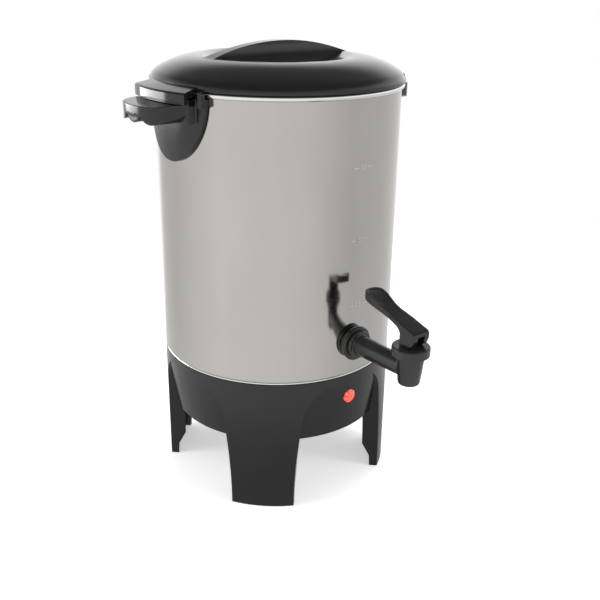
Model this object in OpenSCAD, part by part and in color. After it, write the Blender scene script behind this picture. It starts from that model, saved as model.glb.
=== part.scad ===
// Electric coffee urn: stainless tank on a moulded base with four legs,
// moulded lid with a grip ridge, two side handles, a drip-free tap and a
// percolator pump with its basket.  Millimetres, +Z up.  The origin lies on
// the tank axis at table height; the tap points to -Y, the handles to +X, -X.

/* [Tank] */
// Outside diameter of the tank
tank_d = 190; // [184:1:200]
// Height from the tank floor to the middle of the rim bead
tank_h = 214; // [205:1:230]
// Sheet thickness of the tank
tank_wall = 0.8; // [0.6:0.1:1.2]
// Outside radius between tank floor and wall
tank_corner_r = 3; // [2:0.5:6]
// Diameter of the rolled rim bead
bead_d = 4; // [3:0.5:4.5]
// How far the middle of the bead lies outside the tank wall
bead_out = 0.3; // [0:0.1:1]
// Inside diameter of the pump well in the tank floor
well_d = 48; // [46:1:54]
// Depth of the pump well below the tank floor
well_depth = 14; // [11:1:16]

/* [Lid] */
// Height of the lid crest above the rim bead
lid_crest_h = 18; // [16:0.5:22]
// Radius of the crest around the bowl recess
lid_crest_r = 58; // [50:1:64]
// Wall thickness of the lid
lid_wall = 3; // [2.4:0.1:3.4]
// Rounding radius of the lid shoulder
lid_shoulder_r = 9.5; // [8:0.5:11]
// How far the flange reaches past the tank wall
lid_flange_out = 3; // [2.6:0.2:4]
// Thickness of the flange edge
lid_flange_t = 2; // [1.5:0.1:2.5]
// Depth of the bowl recess at its middle
lid_bowl_depth = 6.5; // [4:0.5:9]
// Depth of the locating skirt below the rim
lid_skirt_h = 8; // [5:0.5:12]
// Height of the grip ridge above the crest
ridge_h = 10.4; // [8:0.2:14]
// Length of the grip ridge where it meets the crest
ridge_len = 126; // [100:2:134]
// Thickness of the grip ridge at its top
ridge_t = 9; // [8:0.5:12]
// Radius of the hollow flanks of the ridge
ridge_flank_r = 15.8; // [13:0.2:18]
// Angle spanned by each lid ear
ear_angle = 35; // [28:1:38]
// How far each lid ear reaches past the tank wall
ear_out = 15.5; // [13:0.5:18]
// Height of the hanging lip of an ear below the flange
ear_lip_h = 7.8; // [6:0.2:8.5]

/* [Side handles] */
// Half width of the handle bracket at its top
bracket_half_w = 38; // [34:1:42]
// Height of the handle bracket
bracket_h = 47; // [42:1:54]
// Thickness of the handle bracket
bracket_t = 6.4; // [5:0.2:8]
// Height of the thick upper block of the bracket
block_h = 19; // [16:1:22]
// How far the grip reaches past the tank wall
grip_out = 32; // [28:1:36]
// Width of the grip where it leaves the bracket
grip_root_w = 50; // [46:1:56]
// Width of the grip near its end
grip_end_w = 45; // [42:1:46]
// Radius of the outer edge of the grip
grip_end_r = 54; // [48:1:60]
// Radius of the two outer corners of the grip
grip_corner_r = 10; // [7:1:12]
// Thickness of the grip plate
grip_t = 6.5; // [5:0.5:8]
// Depth of the grip's top face below the rim bead
grip_drop = 8.5; // [8.5:0.5:11]
// Radius of the three finger lobes under the grip
lobe_r = 8.5; // [7.5:0.5:9]
// Spacing of the finger lobes
lobe_pitch = 15; // [13:0.5:16]
// Angle from the handle axis to each handle screw
screw_angle = 9; // [7:1:11]

/* [Base] */
// Height of the tank floor above the table
base_h = 110; // [104:1:120]
// Height of the plain band around the top of the base
band_h = 5; // [4:0.5:8]
// Height of the skirt edge above the table
skirt_z = 57.7; // [52:0.1:62]
// How far the skirt edge lies inside the band
skirt_inset = 7.2; // [5:0.2:9]
// Wall thickness of the base
shell_wall = 3; // [2.5:0.1:3.5]
// Width of a leg at the table
foot_w = 50.4; // [44:0.2:56]
// Radius of the long hollow side of a leg
leg_side_r = 485; // [400:5:600]
// Radius of the arch between a leg and the band
leg_arch_r = 30; // [24:1:34]
// Depth of the side flanges of a leg
leg_flange = 13; // [10:0.5:15]
// Width of the ledge that carries the tank
ledge_w = 15; // [12:0.5:18]
// Thickness of the bottom cover
cover_t = 2.5; // [2:0.1:3]
// Depth of the bottom cover inside the skirt edge
cover_recess = 6.3; // [5:0.1:8]
// Number of vent slots in the bottom cover
vent_count = 24; // [16:2:30]

/* [Tap] */
// Height of the tap shank above the tank floor
tap_rise = 28; // [26:1:40]
// Distance from the tank wall to the valve axis
tap_reach = 60; // [56:1:70]
// Diameter of the collar against the tank
collar_d = 30; // [27:1:34]
// Thickness of the collar
collar_t = 5.2; // [4:0.2:7]
// Diameter of the shoulder that bears on the collar
shoulder_d = 22; // [19:1:24]
// Diameter of the shank next to the shoulder
shank_d = 16; // [15:0.5:17]
// Diameter of the threaded tail inside the tank
tail_d = 13; // [11:0.5:13.5]
// Diameter of the flow bore through the shank
flow_d = 7.6; // [6:0.2:8]
// Diameter of the valve body at its top
valve_top_d = 21; // [20:0.5:23]
// Diameter of the valve body at the spout
valve_tip_d = 16; // [15:0.5:18]
// Diameter of the spout outlet
outlet_d = 10.8; // [9:0.2:12]
// Length of the spout outlet below the valve seat
outlet_len = 7; // [5:0.5:10]
// Diameter of the valve chamber
chamber_d = 14.4; // [13.6:0.2:15]
// Diameter of the screwed cap
cap_d = 28; // [26:0.5:31]
// Height of the screwed cap
cap_h = 7; // [6:0.5:9]

/* [Tap lever] */
// Height of the lever pin above the cap
pin_rise = 6; // [5.6:0.1:7]
// Diameter of the lever pin
pin_d = 3; // [2.4:0.1:3.4]
// Lift of the valve stem for each radian of lever swing
cam_lift = 2.1; // [1.6:0.1:2.2]
// Swing of the lever from shut to fully open, degrees
lever_swing = 72; // [60:1:74]
// Length of the lever from its pin to its tip
lever_len = 44.5; // [38:0.5:50]
// Width of the lever across its cheeks and tip
lever_w = 16; // [14:0.5:18]
// Width of the slot between the cheeks
slot_w = 7; // [6:0.2:8]
// Diameter of the valve stem
stem_d = 4; // [3.6:0.1:4.4]
// Wire diameter of the valve spring
spring_wire = 0.8; // [0.6:0.1:1]
// Number of coils of the valve spring
spring_turns = 5; // [4:1:6]

/* [Pump and basket] */
// Outside diameter of the pump tube
tube_d = 9; // [8:0.5:10]
// Wall thickness of the pump tube
tube_wall = 0.9; // [0.7:0.1:1.2]
// Distance from the top of the pump tube down to the rim bead
tube_below_rim = 6; // [4:1:20]
// Diameter of the pump foot
foot_d = 43; // [40:1:44]
// Height of the pump foot
foot_h = 9; // [7:1:12]
// Diameter of the coffee basket
basket_d = 124; // [110:2:140]
// Height of the coffee basket
basket_h = 55; // [45:1:65]
// Distance from the basket rim down to the rim bead
basket_below_rim = 24; // [22:1:34]
// Sheet thickness of basket and spreader
basket_wall = 1; // [0.8:0.1:1.4]
// Diameter of the strainer holes
strain_d = 3; // [2:0.2:4]

/* [Heating and wiring] */
// Diameter of the pump heater plate
heater_d = 44; // [40:1:46]
// Thickness of the pump heater plate
heater_t = 6; // [4:0.5:7]
// Outside diameter of the keep-warm ring
warm_d = 92; // [84:1:100]
// Thickness of the keep-warm ring
warm_t = 4; // [3:0.5:5]
// Diameter of the thermostat body
thermostat_d = 16; // [14:0.5:18]
// Diameter of the centre stud
stud_d = 6; // [5:0.5:6]
// Height of the pilot light above the skirt edge
light_rise = 32.3; // [28:0.1:36]
// Diameter of the pilot light lens
lens_d = 10.8; // [9:0.1:13]
// Height of the power inlet above the skirt edge
inlet_rise = 24; // [21:1:28]
// Diameter of the inlet pins
inlet_pin_d = 4.8; // [4:0.1:5]
// Spacing of the inlet pins
inlet_pitch = 18; // [16:0.5:19]
// Diameter of the hidden wires
wire_d = 2.4; // [1.8:0.1:3]

/* [Fits] */
// Gap between the lid and the rim bead
rim_gap = 0.3; // [0.2:0.1:0.5]
// Side gap between pieces that are fitted together
fit_gap = 0.4; // [0.3:0.1:0.6]
// Radial gap of a piece that turns or slides on a pin
run_gap = 0.05; // [0.03:0.01:0.08]
// Gap between a clamped piece and the curved wall behind it
seat_gap = 0.1; // [0.05:0.01:0.2]
// Diameter of the cover and handle screws
screw_d = 3.5; // [3:0.1:4]

/* [Hidden] */
$fn = 96;
eps = 0.01;

// Tank levels and radii
tank_r = tank_d / 2;
tank_in_r = tank_r - tank_wall;
floor_z = base_h;
rim_z = floor_z + tank_h;
well_z = floor_z - well_depth;
well_out_r = well_d / 2 + tank_wall;
bead_r = tank_r + bead_out;

// Lid levels
lid_z = rim_z + bead_d / 2 + rim_gap;
crest_z = rim_z + bead_d / 2 + lid_crest_h;
flange_r = tank_r + lid_flange_out;
shoulder_x = flange_r - 0.7 - lid_shoulder_r;
shoulder_z = rim_z + bead_d / 2;
dome_run = shoulder_x - lid_crest_r;
dome_rise = crest_z - shoulder_z;
// Radius of the upper dome arc that meets the shoulder arc smoothly
dome_r = (pow(dome_run, 2) + pow(dome_rise, 2) - pow(lid_shoulder_r, 2))
    / (2 * (dome_rise - lid_shoulder_r));
dome_z = crest_z - dome_r;
dome_a = atan2(shoulder_z - dome_z, dome_run);
bowl_r = (pow(lid_crest_r, 2) + pow(lid_bowl_depth, 2)) / (2 * lid_bowl_depth);
bowl_z = crest_z - lid_bowl_depth + bowl_r;
arch_r = (pow(ridge_len / 2, 2) + pow(ridge_h, 2)) / (2 * ridge_h);
arch_z = crest_z + ridge_h - arch_r;
lid_skirt_r = bead_r - bead_d / 2 - fit_gap;
lid_skirt_t = lid_wall;
ear_r = tank_r + ear_out;
ear_lip_t = lid_wall + 0.2;
ear_drop = 2.6;

// Handle levels
handle_top = rim_z - bead_d / 2 - fit_gap;
bracket_r = tank_r + fit_gap;
bracket_out_r = bracket_r + bracket_t;
ledge_out_r = bracket_out_r + 2.4;
grip_top = rim_z - grip_drop;
grip_cx = tank_r + grip_out - grip_end_r;
corner_y = grip_end_w / 2 - grip_corner_r;
corner_x = grip_cx + sqrt(pow(grip_end_r - grip_corner_r, 2) - pow(corner_y, 2));
corner_a = atan2(corner_y, corner_x - grip_cx);
handle_screw_z = grip_top - grip_t;
post_angle = ear_angle / 2 + 3.5;

// Base levels
band_z = floor_z - band_h;
skirt_r = tank_r - skirt_inset;
ledge_t = shell_wall;
cover_z = skirt_z + cover_recess;
leg_cx = foot_w / 2 + leg_side_r;
arch_cz = band_z - leg_arch_r;
arch_cx = leg_cx - sqrt(pow(leg_side_r - leg_arch_r, 2) - pow(arch_cz, 2));
boss_r = tank_r - ledge_w - 4;
boss_d = screw_d + 5.5;

// Tap levels
tap_z = floor_z + tap_rise;
valve_y = -(tank_r + tap_reach);
collar_y = -(tank_r + fit_gap + collar_t);
shoulder_t = 3;
seat_z = tap_z - flow_d / 2 - 0.2;
tip_z = seat_z - outlet_len;
cap_z = seat_z + 16;
cap_top = cap_z + cap_h;
neck_d = cap_d - 4;
cap_roof = 3;
neck_z = cap_top - cap_roof - seat_gap;
pin_z = cap_top + pin_rise;
cup_h = 8;
spring_r = stem_d / 2 + spring_wire / 2 + 1;
hole_d = tail_d + 2 * fit_gap;

// Lever sizes
cam_h0 = pin_rise - rim_gap;
cheek_y = 4.7;
slot_r = 3.4;

// Pump levels
tube_top = rim_z - tube_below_rim;
foot_z = well_z + tank_wall + rim_gap;
basket_z = rim_z - basket_below_rim - basket_h;
basket_r = basket_d / 2;
sleeve_r = tube_d / 2 + fit_gap;

// Heater levels
heater_z = well_z - heater_t;
stud_end = cover_z - 6;
light_z = skirt_z + light_rise;
inlet_z = skirt_z + inlet_rise;
inlet_w = inlet_pitch + 18;
inlet_h = 17;
inlet_depth = 22;
lens_hole_d = lens_d - 2.8;
thermo_a = 200;
thermo_r = warm_d / 2 + thermostat_d / 2 + 2;
skirt_slope = (tank_r - skirt_r) / (band_z - skirt_z);

// Outer and inner radius of the skirt at height z
function skirt_out(z) = skirt_r + skirt_slope * (z - skirt_z);
function skirt_in(z) = skirt_out(z) - shell_wall;
power_face_y = skirt_out(inlet_z) + 3;
mouth_y = power_face_y - inlet_depth + 4;
pin_tail_d = inlet_pin_d - 1.4;
// Point of a cubic curve through four control points
function curve_point(c, t) = pow(1 - t, 3) * c[0] + 3 * t * pow(1 - t, 2) * c[1]
    + 3 * t * t * (1 - t) * c[2] + pow(t, 3) * c[3];
function curve(c, steps) = [for (i = [0 : steps]) curve_point(c, i / steps)];

// Points of an arc around (x, y) from angle a0 to a1
function arc(x, y, r, a0, a1, steps) = [for (i = [0 : steps])
    let (a = a0 + (a1 - a0) * i / steps) [x + r * cos(a), y + r * sin(a)]];

// Cylinder along Y from y0 to y1
module bar_y(d, y0, y1, z = 0, x = 0) {
    translate([x, y0, z]) rotate([-90, 0, 0]) cylinder(d = d, h = y1 - y0);
}

// Cylinder along X, centred
module pin_x(d, length) {
    rotate([0, 90, 0]) cylinder(d = d, h = length, center = true);
}

// Ring between two radii and two heights
module ring(r_in, r_out, z0, z1) {
    difference() {
        translate([0, 0, z0]) cylinder(r = r_out, h = z1 - z0);
        translate([0, 0, z0 - 1]) cylinder(r = r_in, h = z1 - z0 + 2);
    }
}

// Direction of a row of points at point i
function heading(points, i) = let (last = len(points) - 1,
    t = points[min(i + 1, last)] - points[max(i - 1, 0)]) t / norm(t);
// Side vectors along a row of points, each carried over from the one before
function sides_along(points, i, u) = i == len(points) ? [] :
    let (t = heading(points, i), w = u - (u * t) * t)
    concat([w / norm(w)], sides_along(points, i + 1, w / norm(w)));

// Closed round tube of radius r along a row of points
module tube_along(points, r, sides) {
    last = len(points) - 1;
    frames = sides_along(points, 0, cross(heading(points, 0), [0.3, 0.5, 0.81]));
    pts = [for (i = [0 : last], j = [0 : sides - 1])
        points[i] + r * cos(360 * j / sides) * frames[i]
            + r * sin(360 * j / sides) * cross(frames[i], heading(points, i))];
    walls = [for (i = [0 : last - 1], j = [0 : sides - 1])
        let (k = (j + 1) % sides)
        [i * sides + j, i * sides + k, (i + 1) * sides + k, (i + 1) * sides + j]];
    polyhedron(pts, concat([[for (j = [sides - 1 : -1 : 0]) j]], walls,
        [[for (j = [0 : sides - 1]) last * sides + j]]), convexity = 10);
}

// ---------------------------------------------------------------- tank

// Half section of a drawn vessel with a rounded floor edge and a well
module vessel_section(r, z0, corner, well_r, top) {
    translate([0, z0 + corner]) square([r, top - z0 - corner]);
    translate([0, z0]) square([r - corner, corner]);
    translate([r - corner, z0 + corner]) circle(corner);
    translate([0, z0 - well_depth]) square([well_r, well_depth]);
}

module tank() {
    color("silver") difference() {
        union() {
            rotate_extrude()
                vessel_section(tank_r, floor_z, tank_corner_r, well_out_r, rim_z);
            rotate_extrude() translate([bead_r, rim_z]) circle(d = bead_d);
        }
        rotate_extrude() vessel_section(tank_in_r, floor_z + tank_wall,
            tank_corner_r - tank_wall, well_d / 2, rim_z + bead_d);
        bar_y(hole_d, -tank_r - 1, -tank_r + 8, tap_z);
        handle_screw_places() translate([tank_r - 4, 0, 0]) rotate([0, 90, 0])
            cylinder(d = screw_d + 2 * fit_gap, h = 8);
    }
}

// The four places where the handle screws pass through the tank wall
module handle_screw_places() {
    for (side = [0, 180], a = [-screw_angle, screw_angle])
        rotate(side + a) translate([0, 0, handle_screw_z]) children();
}

// ----------------------------------------------------------------- lid

// Edge of the lid from its middle out to height z0 on the shoulder, moved
// inward by t: bowl recess, crest, dome and shoulder
function lid_edge(t, z0) = let (
    lip = asin((lid_crest_r - t / 3) / (bowl_r + t)),
    foot = asin((z0 - shoulder_z) / (lid_shoulder_r - t)))
    concat(arc(0, bowl_z, bowl_r + t, -90, -90 + lip, 6),
        arc(lid_crest_r, dome_z, dome_r - t, 90, dome_a, 14),
        arc(shoulder_x, shoulder_z, lid_shoulder_r - t, dome_a - 6, foot, 8));

// Half section of the whole lid: dome, flange and locating skirt
module lid_section() {
    inner = lid_edge(lid_wall, lid_z + lid_flange_t);
    skirt_in_r = lid_skirt_r - lid_skirt_t;
    polygon(concat(lid_edge(0, lid_z + lid_flange_t),
        [[flange_r, lid_z + lid_flange_t], [flange_r, lid_z], [lid_skirt_r, lid_z],
        [lid_skirt_r, rim_z - lid_skirt_h], [skirt_in_r, rim_z - lid_skirt_h]],
        [for (i = [len(inner) - 1 : -1 : 0]) if (inner[i][0] < skirt_in_r) inner[i]]));
}

// The arched grip ridge, moved inward by t
module ridge_body(t, z0) {
    half = ridge_t / 2;
    flank_x = half + ridge_flank_r;
    flank_z = crest_z + ridge_h - 2.4;
    cut_r = ridge_flank_r + t;
    intersection() {
        rotate([90, 0, 0]) linear_extrude(4 * ridge_t, center = true) intersection() {
            translate([0, arch_z]) circle(arch_r - t, $fn = 192);
            translate([-ridge_len / 2 - 2 + t, z0])
                square([ridge_len + 4 - 2 * t, crest_z + ridge_h - z0]);
        }
        rotate([90, 0, 90]) linear_extrude(2 * ridge_len, center = true) difference() {
            translate([-flank_x, z0]) square([2 * flank_x, crest_z + ridge_h - z0 + 1]);
            for (side = [-1, 1]) {
                translate([side * flank_x, flank_z]) circle(cut_r);
                translate([side * flank_x - cut_r, flank_z]) square([2 * cut_r, ridge_h + 4]);
            }
        }
    }
}

module lid() {
    color("#1c1c1e") difference() {
        union() {
            rotate_extrude() lid_section();
            ridge_body(0, crest_z - lid_bowl_depth - 1);
            for (side = [0, 180]) rotate(side) lid_ear();
        }
        ridge_body(lid_wall, lid_z);
    }
}

// Ear that covers the handle bracket, on the +X side
module lid_ear() {
    under = lid_z - lid_wall - 0.5;
    rotate(-ear_angle / 2) rotate_extrude(angle = ear_angle) polygon([
        [lid_skirt_r + 1, lid_z + 1], [lid_skirt_r + 1.5, lid_z + lid_flange_t + 1],
        [flange_r, lid_z + ear_drop], [ear_r - 1, lid_z + 0.2], [ear_r, lid_z - 1],
        [ear_r, lid_z - ear_lip_h], [ear_r - ear_lip_t, lid_z - ear_lip_h],
        [ear_r - ear_lip_t, under], [flange_r + 0.3, under], [flange_r - 0.8, lid_z + 0.6]]);
}

// -------------------------------------------------------- side handles

// Outline of the bracket against the tank, seen along X
module bracket_outline() {
    steps = 14;
    polygon([for (i = [0 : 2 * steps])
        let (a = 180 + 90 * i / steps, c = cos(a), s = sin(a))
        [bracket_half_w * sign(c) * pow(abs(c), 0.85),
            handle_top - 3 - (bracket_h - 3) * pow(abs(s), 0.95)]]);
    translate([-bracket_half_w, handle_top - 3]) square([2 * bracket_half_w, 3]);
}

// Outline of the grip seen from above, on the +X side
module grip_outline() {
    tilt = atan2((grip_root_w - grip_end_w) / 2, grip_out);
    tan_x = corner_x + grip_corner_r * sin(tilt);
    tan_y = corner_y + grip_corner_r * cos(tilt);
    polygon([[tank_r - 10, -grip_root_w / 2], [tan_x, -tan_y],
        [tan_x, tan_y], [tank_r - 10, grip_root_w / 2]]);
    intersection() {
        translate([grip_cx, 0]) circle(grip_end_r);
        polygon([[grip_cx, 0],
            [grip_cx + 2 * grip_end_r, -2 * grip_end_r * tan(corner_a)],
            [grip_cx + 2 * grip_end_r, 2 * grip_end_r * tan(corner_a)]]);
    }
    for (side = [-1, 1])
        translate([corner_x, side * corner_y]) circle(grip_corner_r);
}

// One handle, built on the +X side
module side_handle() {
    difference() {
        union() {
            intersection() {
                ring(bracket_r, bracket_out_r, handle_top - bracket_h - 1, handle_top);
                translate([tank_r / 2, 0, 0]) rotate([90, 0, 90])
                    linear_extrude(tank_r) bracket_outline();
            }
            intersection() {
                ring(bracket_r + 2.4, ledge_out_r, handle_top - block_h, handle_top);
                translate([0, -bracket_half_w + 6, 0])
                    cube([2 * tank_r, 2 * (bracket_half_w - 6), 2 * rim_z]);
            }
            for (side = [-1, 1]) rotate(side * post_angle)
                translate([flange_r + 1, 0, 0]) end_post();
            intersection() {
                translate([0, 0, grip_top - grip_t]) linear_extrude(grip_t) grip_outline();
                ring(bracket_r + 2, 2 * tank_r, 0, 2 * rim_z);
            }
            finger_lobes();
        }
        handle_screw_places() translate([tank_r - 4, 0, 0]) rotate([0, 90, 0])
            cylinder(d = screw_d + 2 * seat_gap, h = 22);
    }
}

// Upright post beside the lid ear that keeps the lid from turning
module end_post() {
    translate([0, -2.2, handle_top - 6]) cube([4, 4.4, 11]);
}

// Three rounded lobes that shape the underside of the grip
module finger_lobes() {
    intersection() {
        union() for (i = [-1 : 1])
            translate([tank_r, i * lobe_pitch, grip_top - grip_t / 2 - 1.2])
                rotate([0, 90, 0]) cylinder(r = lobe_r, h = grip_out);
        translate([grip_cx, 0, 0]) cylinder(r = grip_end_r - 2.5, h = grip_top - eps);
        ring(bracket_r + 2, 2 * tank_r, 0, grip_top - grip_t / 2);
    }
}

module right_side_handle() {
    color("#1c1c1e") side_handle();
}

module left_side_handle() {
    color("#1c1c1e") rotate(180) side_handle();
}

module handle_screws() {
    color("gray") handle_screw_places() {
        translate([tank_in_r - 1.3, 0, 0]) rotate([0, 90, 0]) cylinder(d = screw_d, h = 16);
        translate([tank_in_r - 4, 0, 0]) rotate([0, 90, 0])
            cylinder(d = 2 * screw_d, h = 2.7);
    }
}

module handle_washers() {
    color("gray") handle_screw_places() translate([tank_in_r - 1.3, 0, 0])
        rotate([0, 90, 0]) difference() {
            cylinder(d = 10, h = 1);
            translate([0, 0, -1]) cylinder(d = screw_d + 2 * seat_gap, h = 3);
        }
}

// ---------------------------------------------------------------- base

// Leg outline in its tangent plane, each side moved inward by t
module leg_outline(t) {
    join_a = asin(arch_cz / (leg_side_r - leg_arch_r));
    edge = concat(arc(leg_cx, 0, leg_side_r + t, 180, 180 - join_a, 8),
        arc(arch_cx, arch_cz, leg_arch_r + t, 177 - join_a, 90, 12));
    polygon(concat(edge, [for (i = [len(edge) - 1 : -1 : 0]) [-edge[i][0], edge[i][1]]]));
}

// One leg: a channel, open towards the tank axis, that grows into the skirt
module leg() {
    top_in = skirt_in(band_z) + 1;
    difference() {
        intersection() {
            rotate_extrude() polygon([
                [tank_r - 6.5, 0], [tank_r, 0], [tank_r, band_z],
                [top_in, band_z], [skirt_in(skirt_z) + 1, skirt_z],
                [tank_r - leg_flange, skirt_z - 1], [tank_r - leg_flange, 22],
                [tank_r - leg_flange + 3, 16], [tank_r - 7, 10]]);
            rotate([90, 0, 0]) translate([0, 0, 0.6 * tank_r])
                linear_extrude(tank_r) leg_outline(0);
            translate([0, 0, -1]) cylinder(r = tank_r, h = rim_z);
        }
        intersection() {
            translate([0, 0, -2]) cylinder(r = tank_r - shell_wall, h = skirt_z + 2);
            rotate([90, 0, 0]) translate([0, -1, 0.5 * tank_r])
                linear_extrude(tank_r) leg_outline(shell_wall);
        }
    }
}

module base_shell() {
    color("#1c1c1e") difference() {
        union() {
            rotate_extrude() polygon([
                [skirt_r, skirt_z], [tank_r, band_z], [tank_r, floor_z],
                [tank_r - ledge_w, floor_z], [tank_r - ledge_w, floor_z - ledge_t],
                [tank_r - shell_wall, floor_z - ledge_t], [tank_r - shell_wall, band_z],
                [skirt_in(skirt_z), skirt_z]]);
            for (a = [45 : 90 : 315]) rotate(a) {
                leg();
                cover_boss();
            }
        }
        bar_y(lens_hole_d, -tank_r, -tank_r + 20, light_z);
        translate([-inlet_w / 2, skirt_r - 20, inlet_z - inlet_h / 2])
            cube([inlet_w, 40, inlet_h]);
    }
}

// Screw boss under the ledge with a rib to the skirt, drawn towards -Y
module cover_boss() {
    difference() {
        union() {
            translate([0, -boss_r, cover_z + cover_t])
                cylinder(d = boss_d, h = floor_z - ledge_t / 2 - cover_z - cover_t);
            rotate([90, 0, 90]) linear_extrude(3, center = true) polygon([
                [-boss_r, cover_z + cover_t], [-skirt_in(cover_z + cover_t) - 1, cover_z + cover_t],
                [-skirt_in(band_z) - 1, band_z], [-boss_r, floor_z - ledge_t]]);
        }
        translate([0, -boss_r, cover_z]) cylinder(d = screw_d + 2 * seat_gap, h = 18);
    }
}

module bottom_cover() {
    cover_r = skirt_in(cover_z) - fit_gap;
    color("#2a2a2c") difference() {
        translate([0, 0, cover_z]) cylinder(r = cover_r, h = cover_t);
        translate([0, 0, cover_z - 1]) cylinder(d = stud_d + 2 * fit_gap, h = cover_t + 2);
        for (a = [45 : 90 : 315]) rotate(a) translate([0, -boss_r, cover_z - 1])
            cylinder(d = screw_d + 2 * fit_gap, h = cover_t + 2);
        for (i = [0 : vent_count - 1]) rotate(360 * (i + 0.5) / vent_count)
            translate([-1.5, 36, cover_z - 1]) cube([3, 22, cover_t + 2]);
    }
}

module cover_screws() {
    color("gray") for (a = [45 : 90 : 315]) rotate(a) translate([0, -boss_r, cover_z]) {
        translate([0, 0, -2.2]) cylinder(d = 2 * screw_d, h = 2.2);
        cylinder(d = screw_d, h = 14);
    }
}

module centre_stud() {
    color("silver") translate([0, 0, stud_end]) cylinder(d = stud_d, h = well_z - stud_end);
}

// Hexagon nuts that hold the heater plate and the cover on the stud
module stud_nuts() {
    color("silver") for (z = [heater_z - 5, cover_z - 5]) translate([0, 0, z]) difference() {
        cylinder(d = 2 * stud_d, h = 5, $fn = 6);
        translate([0, 0, -1]) cylinder(d = stud_d + 2 * run_gap, h = 7);
    }
}

// ----------------------------------------------------- heating, wiring

// Plate under the well with a cast-in ring element and two terminals
module pump_heater() {
    color("lightgray") difference() {
        union() {
            translate([0, 0, heater_z]) cylinder(d = heater_d, h = heater_t);
            rotate_extrude() translate([heater_d / 2 - 6, heater_z]) circle(d = 7);
            for (side = [-1, 1]) rotate(side * 25) translate([0, heater_d / 2 - 6, 0]) {
                translate([0, 0, heater_z - 9]) cylinder(d = 5, h = 9);
                translate([-3.1, -0.4, heater_z - 15]) cube([6.2, 0.8, 7]);
            }
        }
        translate([0, 0, heater_z - 8]) cylinder(d = stud_d + 2 * run_gap, h = heater_t + 9);
    }
}

module keep_warm_heater() {
    color("tan") {
        ring(well_out_r + 7, warm_d / 2, floor_z - warm_t, floor_z);
        for (side = [-1, 1]) rotate(side * 30)
            translate([-3.1, warm_d / 2 - 6, floor_z - warm_t - 8]) cube([6.2, 0.8, 8 + eps]);
    }
}

// Disc thermostat on the tank floor, with two blade terminals
module thermostat() {
    color("ivory") rotate(thermo_a) translate([0, thermo_r, floor_z]) {
        translate([0, 0, -1]) cylinder(d = thermostat_d + 3, h = 1);
        translate([0, 0, -9]) cylinder(d = thermostat_d, h = 8 + eps);
        for (side = [-1, 1])
            translate([side * 4.5 - 0.4, -3, -16]) cube([0.8, 6, 7 + eps]);
    }
}

// Round thermal fuse strapped under the keep-warm ring
module thermal_fuse() {
    color("silver") translate([0, -warm_d / 2 + 6, floor_z - warm_t - 3]) {
        rotate([0, 90, 0]) cylinder(d = 4, h = 12, center = true);
        translate([-3, -4, 1.4]) cube([6, 8, 1.5]);
    }
}

// Point at an angle from -Y, a distance from the axis and a height
function around(a, r, z) = [r * sin(a), -r * cos(a), z];

// One insulated wire that leaves each end straight, then follows a smooth curve
module wire(from, from_pull, to, to_pull, d = wire_d) {
    start = from + wire_d * from_pull / norm(from_pull);
    finish = to + wire_d * to_pull / norm(to_pull);
    bend = curve([start, from + from_pull, to + to_pull, finish], 11);
    tube_along(concat([from], bend, [to]), d / 2, 8);
}

module wiring() {
    pin_end = mouth_y - 9 - seat_gap;
    fuse = [0, -warm_d / 2 + 6, floor_z - warm_t - 3];
    half_fuse = [6 + seat_gap, 0, 0];
    blade_r = heater_d / 2 - 6;
    blade_z = heater_z - 15 - seat_gap;
    warm_z = floor_z - warm_t - 8 - seat_gap;
    across = [cos(thermo_a), sin(thermo_a), 0];
    outward = around(thermo_a + 180, 1, 0);
    switch_end = thermo_r * outward + [0, 0, floor_z - 16 - seat_gap];
    lamp_end = [0, -skirt_out(light_z) + 17 + seat_gap, light_z];
    color("firebrick") {
        wire([-inlet_pitch / 2, pin_end, inlet_z], [0, -36, 0],
            fuse - half_fuse, [-80, 0, 0]);
        wire(fuse + half_fuse, [16, 0, 0], switch_end + 4.5 * across, [0, 0, -12]);
        wire(switch_end - 4.5 * across, [0, 0, -20],
            around(155, blade_r, blade_z), [0, 0, -10]);
        wire(around(205, blade_r, blade_z), [0, 0, -10],
            [inlet_pitch / 2, pin_end, inlet_z], [0, -30, 0]);
        for (side = [-1, 1]) {
            wire(around(180 + 30 * side, warm_d / 2 - 5.6, warm_z), [0, 0, -14],
                around(180 + 25 * side, blade_r + 0.4 + seat_gap, heater_z - 11.5),
                around(180 + 25 * side, 14, 0));
            wire(lamp_end + [1.4 * side, 0, 0], [0, 9, 0],
                switch_end - 4.5 * side * across + (3 + seat_gap) * outward + [0, 0, 4],
                8 * outward, wire_d / 2);
        }
    }
}

// Moulded inlet with a stadium-shaped mouth, set into the skirt at +Y
module power_inlet() {
    mouth_w = inlet_w - 6;
    mouth_h = inlet_h - 6;
    color("#1c1c1e") difference() {
        union() {
            translate([-inlet_w / 2 + fit_gap, power_face_y - 3 - inlet_depth,
                inlet_z - inlet_h / 2 + fit_gap])
                cube([inlet_w - 2 * fit_gap, inlet_depth + 3, inlet_h - 2 * fit_gap]);
            difference() {
                translate([-inlet_w / 2 - 3.5, power_face_y - 9, inlet_z - inlet_h / 2 - 3.5])
                    cube([inlet_w + 7, 9, inlet_h + 7]);
                translate([0, 0, skirt_z]) cylinder(r1 = skirt_r + seat_gap,
                    r2 = tank_r + seat_gap, h = band_z - skirt_z);
            }
        }
        inlet_mouth(mouth_w, mouth_h, mouth_y, power_face_y + 1);
        for (side = [-1, 1]) bar_y(pin_tail_d + 2 * run_gap, power_face_y - inlet_depth - 9,
            power_face_y, inlet_z, side * inlet_pitch / 2);
    }
}

// Stadium-shaped pocket along Y
module inlet_mouth(w, h, y0, y1) {
    for (side = [-1, 1]) bar_y(h, y0, y1, inlet_z, side * (w - h) / 2);
    translate([-(w - h) / 2, y0, inlet_z - h / 2]) cube([w - h, y1 - y0, h]);
}

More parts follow.
